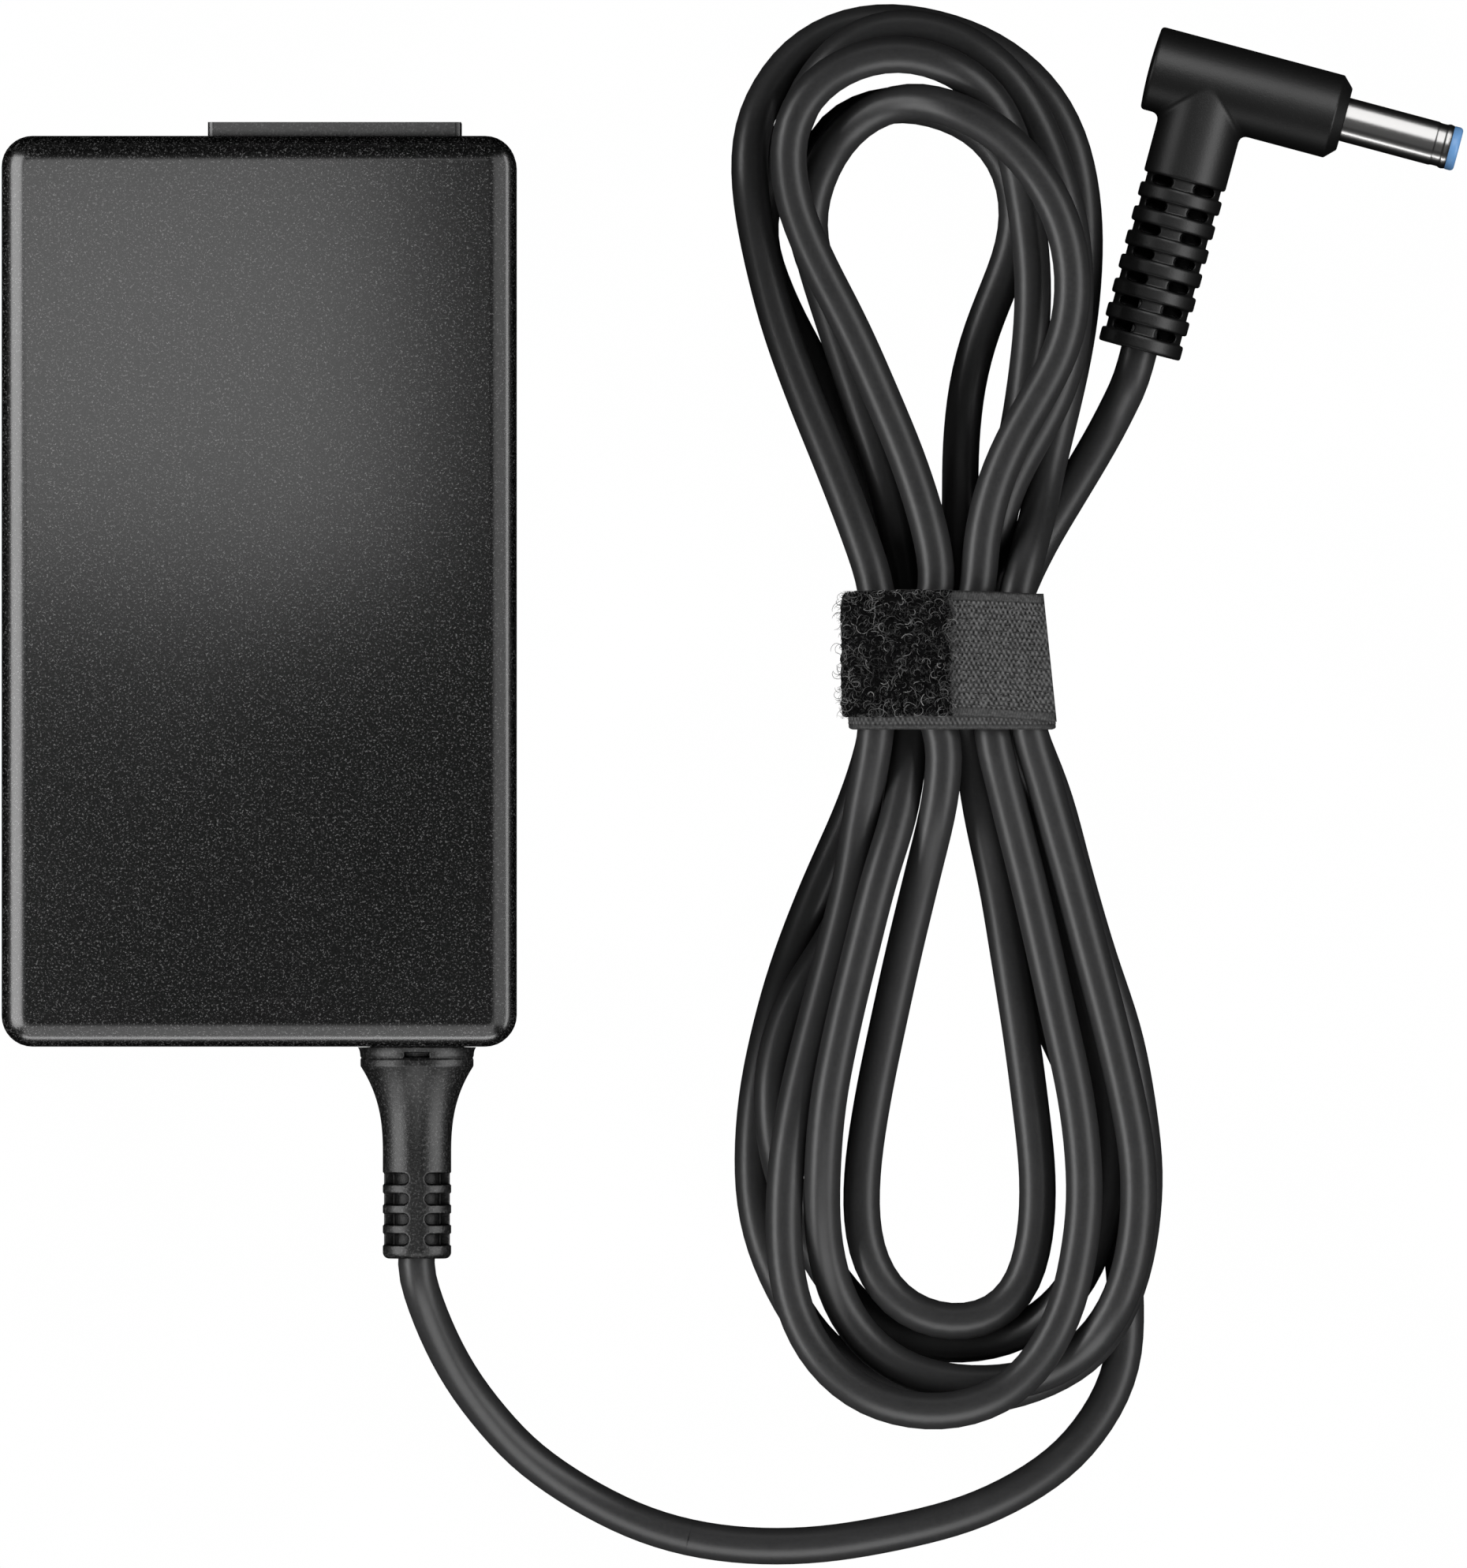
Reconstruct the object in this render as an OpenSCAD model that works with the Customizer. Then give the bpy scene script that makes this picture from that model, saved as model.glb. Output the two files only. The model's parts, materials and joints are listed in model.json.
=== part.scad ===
// Laptop power adapter: brick with an inlet socket, hank of cable held by a
// hook-and-loop strap, and a right-angle barrel plug.
// Frame: millimetres, +Z up. Origin at the centre of the underside of the
// brick. +X points from the brick towards the hank, +Y towards the inlet end.

/* [Brick] */
// width of the brick
brick_w = 51.8; // [50:0.1:54]
// length of the brick
brick_l = 91.7; // [90:0.1:94]
// height of the brick
brick_h = 28.5; // [28:0.1:30]
// rounding of the outer edges
brick_r = 2.8; // [2:0.1:3.2]
// wall thickness of the case
case_wall = 2.0; // [1.8:0.1:2.2]
// gap at the seam between the two case halves
seam_gap = 0.2; // [0.1:0.05:0.4]

/* [Inlet] */
// centre of the inlet across the brick
inlet_x = 7.6; // [7:0.1:8.4]
// width of the inlet collar
inlet_w = 25.5; // [24.5:0.1:26]
// how far the collar stands out of the end face
inlet_out = 1.4; // [0.8:0.1:2]
// radius of the inlet contact pins
inlet_pin_r = 1.18; // [1.1:0.01:1.2]

/* [Strain relief] */
// centre of the outlet across the brick
outlet_x = 15.86; // [15.5:0.02:16]
// length of the moulded strain relief outside the case
relief_l = 21.4; // [20:0.1:22]
// width of one slot in the strain relief
relief_slot = 1.18; // [1:0.02:1.3]
// distance from slot to slot
relief_pitch = 2.04; // [2:0.02:2.1]

/* [Cable] */
// radius of the cable jacket
cable_r = 1.8; // [1.6:0.05:1.8]
// sides of the cable section
cable_sides = 8; // [6:1:10]
// height of the hinged cable lengths above the plane of the underside
cable_lift = 0.4; // [0.3:0.1:0.6]

/* [Strap] */
// width of the strap along the cable
strap_w = 12.7; // [12:0.1:13]
// thickness of the strap band
strap_t = 0.8; // [0.6:0.05:0.9]

/* [Plug] */
// radius of the plug head
head_r = 4.3; // [4.2:0.05:4.3]
// length of the plug head
head_l = 20.35; // [19.5:0.05:20.5]
// radius of the ribbed boot
boot_r = 4.25; // [4.15:0.05:4.3]
// outer radius of the barrel contact
barrel_r = 2.25; // [2.2:0.01:2.3]
// length of barrel outside the head, without the tip ring
barrel_l = 11.0; // [10.5:0.1:11.5]
// radius of the centre contact pin
centre_pin_r = 0.32; // [0.3:0.01:0.35]

/* [Hidden] */

hw = brick_w / 2;
hl = brick_l / 2;
mid_z = brick_h / 2;
seam_lo = mid_z - seam_gap / 2;
seam_hi = mid_z + seam_gap / 2;
c = 0.1;                          // assembly clearance
board_z0 = 5.0;
board_z1 = 6.6;
inlet_z = mid_z;
cable_z = mid_z;

// plan grid for the cable route: 12.58 divisions per millimetre,
// grid point (329, 750) is the origin
grid = 12.58;
function gp(p) = [(p[0] - 329) / grid, (750 - p[1]) / grid, p[2] + cable_lift];

lead_way = [
  [534.5, 1634, 13.2], [544.5, 1666, 12.0], [561.5, 1706, 10.3], [589, 1755, 8.2], [624, 1801, 6.3], [663, 1843, 4.8], [706, 1876, 3.5], [757, 1907, 2.6], [812, 1933, 2.1], [881, 1953, 1.9], [940, 1961, 1.9], [1000, 1962.5, 1.9], [1060, 1958, 1.9], [1120, 1948, 1.9], [1177, 1935.5, 1.9], [1227, 1921, 1.9], [1273, 1901, 1.9], [1315, 1877, 1.9], [1355, 1846, 1.9], [1388, 1806, 1.9], [1412, 1764, 1.9], [1425, 1722, 1.9], [1428, 1672, 1.9]
];
coil_way = [
  // strand up to the strap
  [1428, 1645, 1.9], [1427, 1620, 1.9], [1420, 1565, 1.9], [1407, 1500, 1.9], [1390, 1435, 1.9], [1366, 1367, 1.9], [1343, 1318, 1.9], [1321, 1265, 1.9], [1302, 1205, 1.9], [1287, 1130, 1.9], [1264, 1040, 1.95], [1231, 968, 2.7],
  // through the strap
  [1214, 925, 3.4], [1211, 838, 3.4],
  // first upper loop, right side
  [1216, 750, 3.4], [1239, 680, 3.4], [1270, 620, 3.4], [1288, 560, 3.65], [1300, 490, 4.4], [1308, 420, 5.2], [1310, 350, 5.7], [1304, 285, 5.9], [1294, 225, 6.6],
  // first upper loop, crown
  [1278, 163, 7.6], [1248, 115, 8.5], [1200, 82, 9.6], [1142, 68, 9.6], [1085, 78, 9.6], [1042, 103, 9.6],
  // first upper loop, left side
  [1012, 140, 9.7], [1000, 190, 9.7], [1006, 250, 9.7], [1025, 305, 9.7], [1046, 350, 9.7], [1072, 400, 9.7], [1117, 500, 9.8], [1157, 600, 10.3], [1182, 690, 10.9],
  // through the strap
  [1188, 750, 11.1], [1173, 794, 11.1], [1168, 838, 11.1], [1176, 881, 11.1],
  // first lower loop, left side
  [1194, 925, 11.1], [1192, 1010, 11.1], [1172, 1100, 9.2], [1148, 1200, 7.8], [1126, 1300, 6.8], [1106, 1400, 6], [1094, 1490, 5.8], [1094, 1550, 5.8], [1107, 1605, 5.8], [1137, 1648, 5.8],
  // first lower loop, foot
  [1175, 1670, 5.8], [1218, 1676, 5.8], [1258, 1667, 5.8], [1290, 1637, 5.8],
  // first lower loop, right side
  [1310, 1580, 5.8], [1316, 1500, 5.8], [1308, 1410, 5.8], [1295, 1310, 5.8], [1280, 1215, 5.8], [1266, 1130, 5.9], [1243, 1020, 7.4],
  // through the strap
  [1228, 925, 7.5], [1216, 881, 8.7], [1214.5, 838, 10.1], [1225, 794, 11],
  // fourth upper loop, right side
  [1240, 750, 11.1], [1243, 700, 11.1], [1252, 650, 11.1], [1267, 600, 11.1], [1292, 545, 11.1], [1323, 490, 11.1], [1347, 440, 11.1], [1359, 385, 11.1], [1359, 335, 11.1], [1347, 282, 11.1], [1326, 237, 11.1], [1297, 198, 11.1],
  // fourth upper loop, crown
  [1258, 163, 11.3], [1207, 138, 10.8], [1152, 128, 8.6], [1102, 144, 7.2], [1066, 175, 6.1],
  // fourth upper loop, left side
  [1043, 213, 5.75], [1029, 255, 5.75], [1027, 300, 5.75], [1038, 345, 5.75], [1055, 400, 5.75], [1088, 500, 5.9], [1119, 600, 6.6], [1140, 690, 7.2],
  // through the strap
  [1150, 750, 7.25], [1152, 838, 7.25],
  // second lower loop, left side
  [1156, 915, 7.7], [1149, 980, 8.9], [1138, 1040, 10.6], [1119, 1100, 11.6], [1093, 1200, 11.6], [1069, 1300, 11.6], [1050, 1400, 11.3], [1043, 1490, 10], [1043, 1550, 8.8], [1051, 1605, 7.4], [1068, 1655, 6.2],
  // second lower loop, foot
  [1100, 1702, 5.75], [1147, 1736, 5.75], [1200, 1752, 5.75], [1250, 1755, 5.75], [1302, 1749, 5.7],
  // second lower loop, right side
  [1351, 1728, 6.9], [1391, 1694, 8.9], [1419, 1650, 9.7], [1436, 1595, 9.6], [1444, 1530, 9.6], [1442, 1465, 9.6], [1430, 1395, 9.6], [1408, 1300, 9.6], [1383, 1205, 9.6], [1355, 1100, 9.8], [1327, 1000, 10.4],
  // through the strap
  [1309, 925, 11.1], [1307, 838, 11.1],
  // third upper loop, right side
  [1306, 750, 11.1], [1309, 705, 9.9], [1316, 655, 7], [1326, 605, 4.8], [1338, 555, 3.5], [1350, 505, 2.5], [1361, 455, 1.9], [1370, 400, 1.9], [1375, 345, 1.9], [1376, 290, 1.9], [1370, 230, 1.9], [1356, 175, 1.9], [1332, 128, 1.9],
  // third upper loop, crown
  [1296, 88, 1.9], [1250, 57, 1.9], [1190, 35, 1.9], [1125, 26, 2.1], [1065, 36, 2.2], [1013, 66, 2.6],
  // third upper loop, left side
  [975, 114, 3.5], [954, 168, 4.9], [951, 230, 5.9], [959, 290, 5.8], [972, 350, 5.8], [985, 400, 5.9], [1018, 495, 6.9], [1058, 595, 8.5], [1090, 680, 10.2],
  // through the strap
  [1111.5, 750, 11.1], [1112, 838, 11.1],
  // third lower loop, left side
  [1111, 925, 11.1], [1101, 985, 10.2], [1089, 1050, 9.2], [1080, 1110, 9], [1060, 1195, 9], [1034, 1295, 9], [1011, 1390, 9.1], [998, 1470, 9.1], [994, 1545, 9], [998, 1615, 9], [1014, 1675, 9], [1046, 1728, 9.3],
  // third lower loop, foot
  [1094, 1768, 9.6], [1150, 1787, 9.6], [1205, 1789, 9.6], [1258, 1774, 9.6], [1302, 1743, 9.6],
  // third lower loop, right side
  [1331, 1702, 9.9], [1353, 1655, 9.8], [1366, 1600, 9.7], [1375, 1530, 9.6], [1373, 1460, 9.6], [1365, 1395, 9.6], [1345, 1300, 9.6], [1323, 1200, 9.6], [1301, 1105, 9.8], [1276, 1005, 10.5],
  // through the strap
  [1260, 925, 11.1], [1262, 881, 9.4], [1259, 838, 8.3], [1241, 794, 7.5],
  // second upper loop, right side
  [1222, 750, 7.4], [1215, 700, 7.3], [1218, 650, 6.4], [1218, 600, 4.9], [1221, 540, 3], [1229, 480, 1.9], [1245, 420, 1.9], [1264, 370, 1.9], [1284, 315, 1.9], [1290, 260, 1.9], [1277, 208, 1.9],
  // second upper loop, crown
  [1247, 168, 1.9], [1200, 142, 1.9], [1145, 131, 1.9], [1092, 141, 1.9], [1054, 166, 1.9],
  // second upper loop, left side
  [1035, 208, 1.9], [1023, 255, 1.9], [1023, 300, 1.9], [1040, 345, 1.9], [1062, 400, 1.9], [1103, 500, 1.9], [1137, 600, 2.2], [1158, 690, 3.1],
  // through the strap
  [1163, 750, 3.4], [1162, 838, 3.4],
  // fourth lower loop, left side
  [1160, 925, 3.4], [1144, 990, 2.4], [1119, 1060, 2], [1092, 1120, 2.3], [1067, 1170, 3.3], [1042, 1215, 4.6], [1014, 1257, 5.4], [994, 1302, 5.7], [983, 1345, 5.7], [979, 1390, 5.7], [981, 1430, 5.5], [990, 1480, 4.6], [1008, 1530, 3], [1034, 1587, 1.9],
  // fourth lower loop, foot
  [1068, 1638, 1.9], [1108, 1676, 1.9], [1157, 1699, 1.9], [1212, 1706, 1.9], [1268, 1699, 2], [1318, 1675, 3.6],
  // fourth lower loop, right side
  [1360, 1634, 5.6], [1386, 1585, 5.75], [1401, 1530, 5.75], [1409, 1465, 5.75], [1408, 1400, 5.7], [1399, 1345, 5.7], [1386, 1290, 5.75], [1366, 1205, 5.75], [1336, 1105, 5.7], [1300, 1018, 5.4], [1273, 960, 4.85],
  // through the strap
  [1262, 925, 3.9], [1257.5, 838, 3.4],
  // fifth upper loop, right side
  [1261, 750, 4.9], [1264, 700, 6.6], [1266, 655, 7.2], [1280, 615, 7.25], [1299, 575, 7.2], [1322, 535, 7], [1345, 485, 6.6], [1360, 425, 6], [1364, 365, 5.75], [1361, 310, 5.75], [1351, 255, 5.75], [1334, 200, 5.2], [1312, 148, 5.1],
  // fifth upper loop, crown
  [1282, 100, 5.5], [1240, 63, 5.75], [1190, 40, 5.8], [1135, 34, 5.9], [1085, 50, 5.8], [1048, 82, 5.8],
  // fifth upper loop, left side
  [1023, 118, 5.3], [1006, 160, 4.1], [984, 210, 2.6], [966, 262, 2], [965, 310, 1.9], [979, 355, 1.9], [1000, 405, 1.9], [1027, 455, 1.9], [1048, 500, 1.9], [1085, 600, 2.2], [1106, 690, 3.1],
  // through the strap
  [1113, 750, 3.4], [1113.5, 838, 3.4],
  // fifth lower loop, left side
  [1112, 925, 3.4], [1098, 980, 2.4], [1076, 1040, 1.9], [1049, 1100, 1.9], [1020, 1170, 1.9], [995, 1240, 1.9], [976, 1310, 1.9], [961, 1385, 1.9], [955, 1455, 1.9], [957, 1520, 1.9], [970, 1580, 1.9], [994, 1635, 1.9], [1028, 1690, 1.9],
  // fifth lower loop, foot
  [1072, 1732, 1.9], [1124, 1760, 1.9], [1180, 1772, 1.9], [1240, 1772, 1.9], [1300, 1760, 1.9],
  // fifth lower loop, right side
  [1350, 1738, 2.2], [1385, 1711, 4.1], [1410, 1678, 5.5], [1430, 1634, 5.75], [1443, 1585, 5.75], [1450, 1535, 5], [1452, 1480, 3.5], [1446, 1420, 2.2], [1427, 1315, 1.9], [1393, 1210, 1.9], [1364, 1110, 1.9], [1337, 1010, 2], [1320, 962, 2.6],
  // through the strap
  [1308, 925, 3.4], [1307, 838, 3.4],
  // last strand, towards the plug
  [1307, 750, 3.4], [1315, 712, 2.6], [1329, 678, 1.9], [1346, 643, 1.9]
];
tail_way = [
  [1359.5, 620.5, 1.9], [1371, 601, 1.9], [1396, 559, 2.3], [1417, 519, 2.9], [1432, 487, 3.9], [1439, 466.7, 4.3]
];

// ---- smooth route through the way points -------------------------------
function unit(v) = v / norm(v);
function tangent(p, i) =
  i == 0 ? unit(p[1] - p[0]) :
  i == len(p) - 1 ? unit(p[i] - p[i - 1]) :
  let (a = norm(p[i] - p[i - 1]), b = norm(p[i + 1] - p[i]))
  ((p[i + 1] - p[i]) / b * a + (p[i] - p[i - 1]) / a * b) / (a + b);
function turn(p, i) =
  i <= 0 || i >= len(p) - 1 ? 0 :
  acos(max(-1, min(1, unit(p[i] - p[i - 1]) * unit(p[i + 1] - p[i]))));
function herm(a, b, ta, tb, d, t) =
  (2*t*t*t - 3*t*t + 1) * a + (t*t*t - 2*t*t + t) * d * ta
  + (3*t*t - 2*t*t*t) * b + (t*t*t - t*t) * d * tb;
function route(w) =
  let (p = [for (q = w) gp(q)], n = len(p))
  concat([for (i = [0 : n - 2])
    let (d = norm(p[i + 1] - p[i]),
         k = max(1, min(3, ceil(max(turn(p, i), turn(p, i + 1)) / 13))),
         ta = tangent(p, i), tb = tangent(p, i + 1))
    for (j = [0 : k - 1]) herm(p[i], p[i + 1], ta, tb, d, j / k)], [p[n - 1]]);

// round tube along a list of points, flat ends
module tube(pts, r, sides) {
  n = len(pts);
  rings = [for (i = [0 : n - 1])
    let (t = unit(pts[min(i + 1, n - 1)] - pts[max(i - 1, 0)]),
         s = unit(cross([0, 0, 1], t)), u = cross(t, s))
    for (k = [0 : sides - 1])
      let (a = 360 * (k + 0.5) / sides) pts[i] + r * (cos(a) * s + sin(a) * u)];
  faces = concat(
    [[for (k = [0 : sides - 1]) k]],
    [for (i = [0 : n - 2]) for (k = [0 : sides - 1])
      [i*sides + k, (i + 1)*sides + k, (i + 1)*sides + (k + 1) % sides]],
    [for (i = [0 : n - 2]) for (k = [0 : sides - 1])
      [i*sides + k, (i + 1)*sides + (k + 1) % sides, i*sides + (k + 1) % sides]],
    [[for (k = [sides - 1 : -1 : 0]) (n - 1)*sides + k]]);
  polyhedron(points = rings, faces = faces);
}

module box(x0, x1, y0, y1, z0, z1) {
  translate([x0, y0, z0]) cube([x1 - x0, y1 - y0, z1 - z0]);
}
module rod_y(x, y0, y1, z, r) {
  translate([x, y0, z]) rotate([-90, 0, 0]) cylinder(h = y1 - y0, r = r, $fn = 48);
}
module rod_x(x0, x1, y, z, r) {
  translate([x0, y, z]) rotate([0, 90, 0]) cylinder(h = x1 - x0, r = r, $fn = 48);
}
module disc_y(x, y, z, r, t) {
  rod_y(x, y - t / 2, y + t / 2, z, r);
}

// ---- case ---------------------------------------------------------------
module brick_outer() {
  hull() for (x = [-1, 1], y = [-1, 1], z = [brick_r, brick_h - brick_r])
    translate([x * (hw - brick_r), y * (hl - brick_r), z]) sphere(r = brick_r, $fn = 32);
}
module brick_cavity() {
  box(-hw + case_wall, hw - case_wall, -hl + case_wall, hl - case_wall, case_wall, brick_h - case_wall);
}
module inlet_hole() {
  box(inlet_x - inlet_w/2 - c, inlet_x + inlet_w/2 + c, hl - case_wall - 1, hl + 1, inlet_z - 9.5 - c, inlet_z + 9.5 + c);
}
module outlet_hole() {
  rod_y(outlet_x, -hl - 1, -hl + case_wall + 1, cable_z, 4.3);
}
module lip(inset, z0, z1) {
  box(-hw + inset, hw - inset, -hl + inset, hl - inset, z0, z1);
}
module case_bottom() {
  color([0.16, 0.16, 0.17])
  difference() {
    union() {
      intersection() {
        brick_outer();
        box(-hw - 1, hw + 1, -hl - 1, hl + 1, -1, seam_lo);
      }
      difference() {
        lip(1.1, seam_lo - 0.5, seam_lo + 1.4);
        brick_cavity();
      }
    }
    brick_cavity();
    inlet_hole();
    outlet_hole();
    box(-19.1, 19.1, -31.1, 31.1, -1, 0.35);
  }
}
module case_top() {
  color([0.17, 0.17, 0.18])
  difference() {
    intersection() {
      brick_outer();
      box(-hw - 1, hw + 1, -hl - 1, hl + 1, seam_hi, brick_h + 1);
    }
    brick_cavity();
    lip(1.0, seam_hi - 1, seam_lo + 1.5);
    inlet_hole();
    outlet_hole();
  }
}
module rating_plate() {
  color([0.62, 0.62, 0.64]) box(-19, 19, -31, 31, 0.1, 0.34);
}

// ---- inlet --------------------------------------------------------------
lob_r = 4.5;
lob = [[-5, -2.6], [5, -2.6], [0, 3.6]];
module inlet_housing() {
  color([0.1, 0.1, 0.11])
  difference() {
    union() {
      // rounded collar through the case wall
      box(inlet_x - inlet_w/2 + 0.6, inlet_x + inlet_w/2 - 0.6, hl - 17, hl + inlet_out, inlet_z - 9.5, inlet_z + 9.5);
      box(inlet_x - inlet_w/2, inlet_x + inlet_w/2, hl - 17, hl + inlet_out, inlet_z - 8.9, inlet_z + 8.9);
      for (x = [-1, 1], z = [-1, 1])
        rod_y(inlet_x + x * (inlet_w/2 - 0.6), hl - 17, hl + inlet_out, inlet_z + z * 8.9, 0.6);
      // flange behind the wall
      box(inlet_x - inlet_w/2 - 1.2, inlet_x + inlet_w/2 + 1.2, hl - 5, hl - case_wall - 0.1, inlet_z - 10.6, inlet_z + 10.6);
    }
    // clover-leaf cavity
    for (q = lob) rod_y(inlet_x + q[0], hl - 12, hl + 3, inlet_z + q[1], lob_r);
    box(inlet_x - 5, inlet_x + 5, hl - 12, hl + 3, inlet_z - 7.1, inlet_z + 1.0);
    for (q = lob) {
      rod_y(inlet_x + q[0], hl - 20, hl - 11.5, inlet_z + q[1], inlet_pin_r - 0.25);
    }
  }
}
module inlet_pin(i) {
  color([0.72, 0.7, 0.66]) {
    rod_y(inlet_x + lob[i][0], hl - 19, hl - 11.98, inlet_z + lob[i][1], inlet_pin_r - 0.28);
    rod_y(inlet_x + lob[i][0], hl - 11.98, hl - 1.6, inlet_z + lob[i][1], inlet_pin_r);
    translate([inlet_x + lob[i][0], hl - 1.6, inlet_z + lob[i][1]]) rotate([-90, 0, 0])
      cylinder(h = 0.6, r1 = inlet_pin_r, r2 = 0.7, $fn = 48);
  }
}
module inlet_pin_line() { inlet_pin(0); }
module inlet_pin_neutral() { inlet_pin(1); }
module inlet_pin_earth() { inlet_pin(2); }

// ---- board and its parts ------------------------------------------------
module circuit_board() {
  color([0.12, 0.32, 0.2])
  difference() {
    box(-22, 22, -40, 27, board_z0, board_z1);
    for (x = [-19.5, 19.5], y = [-37.5]) translate([x, y, board_z0 - 1]) cylinder(h = 4, r = 1.2, $fn = 32);
  }
}
module insulation_sheet() {
  color([0.85, 0.83, 0.7])
  difference() {
    box(-23.5, 23.5, -42, 27.5, 2.9, 23.5);
    box(-23.1, 23.1, -43, 28.5, 3.3, 24.5);
  }
}
module shield_lower() { color([0.75, 0.5, 0.32]) box(-21.5, 21.5, -39, 26, 2.25, 2.6); }
module shield_upper() { color([0.78, 0.79, 0.8]) box(-21.5, 21.5, -39, 26, 24.9, 25.9); }
module thermal_pad() { color([0.55, 0.62, 0.72]) box(-12, 14, -29, -13, 23.4, 24.8); }

module fuse() {
  color([0.8, 0.78, 0.7]) { rod_x(-20.5, -10.5, 24.4, board_z1 + 2.6, 2.1); }
  color([0.7, 0.7, 0.7]) for (x = [-19.5, -11.5]) translate([x, 24.4, board_z1 + 0.05]) cylinder(h = 2, r = 0.35, $fn = 24);
}
module radial_disc(x, y, r, t) {
  disc_y(x, y, board_z1 + 1.6 + r, r, t);
  for (s = [-1, 1]) translate([x + s * 2.5, y, board_z1 + 0.05]) cylinder(h = 3.2, r = 0.35, $fn = 24);
}
module varistor() { color([0.15, 0.3, 0.6]) radial_disc(-3, 24.3, 4.8, 3.6); }
module inrush_thermistor() { color([0.12, 0.12, 0.12]) radial_disc(8.5, 24.3, 4.6, 3.8); }
module x_capacitor() { color([0.78, 0.65, 0.2]) box(-21.5, -8.5, 9.3, 20, board_z1 + 0.1, board_z1 + 12); }
module choke_core() {
  color([0.2, 0.2, 0.22]) translate([0.5, 14, board_z1 + 1.2]) rotate_extrude($fn = 64) translate([4, 0]) square([3.2, 5.5]);
}
module half_winding(a0) {
  translate([0.5, 14, board_z1]) rotate([0, 0, a0]) difference() {
    rotate_extrude(angle = 130, $fn = 64) translate([3.1, 0.3]) square([5, 7.3]);
    translate([0, 0, 1.1]) rotate_extrude($fn = 64) translate([3.9, 0]) square([3.4, 5.7]);
  }
}
module choke_winding_a() { color([0.72, 0.38, 0.16]) half_winding(25); }
module choke_winding_b() { color([0.72, 0.38, 0.16]) half_winding(205); }
module bridge_rectifier() {
  color([0.1, 0.1, 0.1]) box(11, 21, 14.5, 17.7, board_z1 + 1.5, board_z1 + 14);
  color([0.7, 0.7, 0.7]) for (i = [0 : 3]) box(12 + i * 2.5, 12.6 + i * 2.5, 15.8, 16.4, board_z1 + 0.05, board_z1 + 2);
}
module bulk_capacitor() {
  color([0.13, 0.13, 0.16]) difference() {
    rod_x(-21.5, 6.5, -2.8, board_z1 + 8.4, 8.2);
    translate([-20.5, -2.8, board_z1 + 8.4]) rotate([0, 90, 0]) rotate_extrude($fn = 64) translate([7.6, 0]) square([2, 1]);
  }
}
module primary_heatsink() { color([0.68, 0.69, 0.7]) box(9, 10.6, -10.8, 11, board_z1 + 0.1, 22.5); }
module switch_transistor() {
  color([0.1, 0.1, 0.1]) box(10.7, 15.2, -5, 5, board_z1 + 4.5, board_z1 + 14);
  color([0.7, 0.7, 0.7]) for (y = [-2.5, 0, 2.5]) box(12.6, 13.2, y - 0.4, y + 0.4, board_z1 + 0.05, board_z1 + 5);
}
module transformer_core() {
  color([0.22, 0.22, 0.24]) difference() {
    box(-12, 14, -29.5, -12.5, board_z1 + 1.2, 23.2);
    translate([1, -21, board_z1 + 4.4]) difference() {
      union() {
        cylinder(h = 9.8, r = 9.2, $fn = 64);
        box(-9.2, 9.2, -12, 12, 0, 9.8);
      }
      translate([0, 0, -1]) cylinder(h = 12, r = 3.9, $fn = 64);
    }
  }
}
module transformer_bobbin() {
  color([0.88, 0.86, 0.78]) translate([1, -21, board_z1 + 4.6]) rotate_extrude($fn = 64)
    polygon([[4.1, 0], [8.8, 0], [8.8, 0.8], [4.9, 0.8], [4.9, 8.6], [8.8, 8.6], [8.8, 9.4], [4.1, 9.4]]);
}
module transformer_winding() {
  color([0.8, 0.66, 0.22]) translate([1, -21, board_z1 + 5.5]) rotate_extrude($fn = 64)
    translate([5.0, 0]) square([3.5, 7.6]);
}
module y_capacitor() { color([0.2, 0.4, 0.7]) {
  rod_x(17.6, 20.6, -17, board_z1 + 5.6, 4);
  for (y = [-19.5, -14.5]) translate([19.1, y, board_z1 + 0.05]) cylinder(h = 4, r = 0.35, $fn = 24); } }
module optocoupler() { color([0.9, 0.9, 0.88]) box(16.3, 20.9, -29.5, -23, board_z1 + 0.3, board_z1 + 3.8); }
module controller_chip() { color([0.1, 0.1, 0.1]) box(-21, -15.2, -19, -14, board_z1 + 0.1, board_z1 + 1.6); }
module secondary_heatsink() { color([0.68, 0.69, 0.7]) box(-3.6, 9.6, -33, -31.5, board_z1 + 0.1, 21.5); }
module output_rectifier() {
  color([0.1, 0.1, 0.1]) box(-1.5, 8.5, -37.6, -33.1, board_z1 + 4, board_z1 + 13.5);
  color([0.7, 0.7, 0.7]) for (x = [1, 3.5, 6]) box(x - 0.4, x + 0.4, -35.6, -35, board_z1 + 0.05, board_z1 + 5);
}
module output_cap(x, y) {
  color([0.12, 0.16, 0.3]) difference() {
    translate([x, y, board_z1 + 0.1]) cylinder(h = 15.5, r = 4.1, $fn = 48);
    translate([x, y, board_z1 + 1.3]) rotate_extrude($fn = 48) translate([3.8, 0]) square([1, 0.8]);
  }
}
module output_capacitor_a() { output_cap(-17.2, -34.5); }
module output_capacitor_b() { output_cap(-8.4, -34.5); }
module output_choke_core() { color([0.2, 0.2, 0.22]) translate([-17.3, -25, board_z1 + 0.1]) cylinder(h = 12, r = 1.9, $fn = 48); }
module output_choke_winding() {
  color([0.72, 0.38, 0.16]) translate([-17.3, -25, board_z1 + 1.2]) difference() {
    cylinder(h = 9.6, r = 3.4, $fn = 48);
    translate([0, 0, -1]) cylinder(h = 12, r = 2.0, $fn = 48);
  }
}
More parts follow.
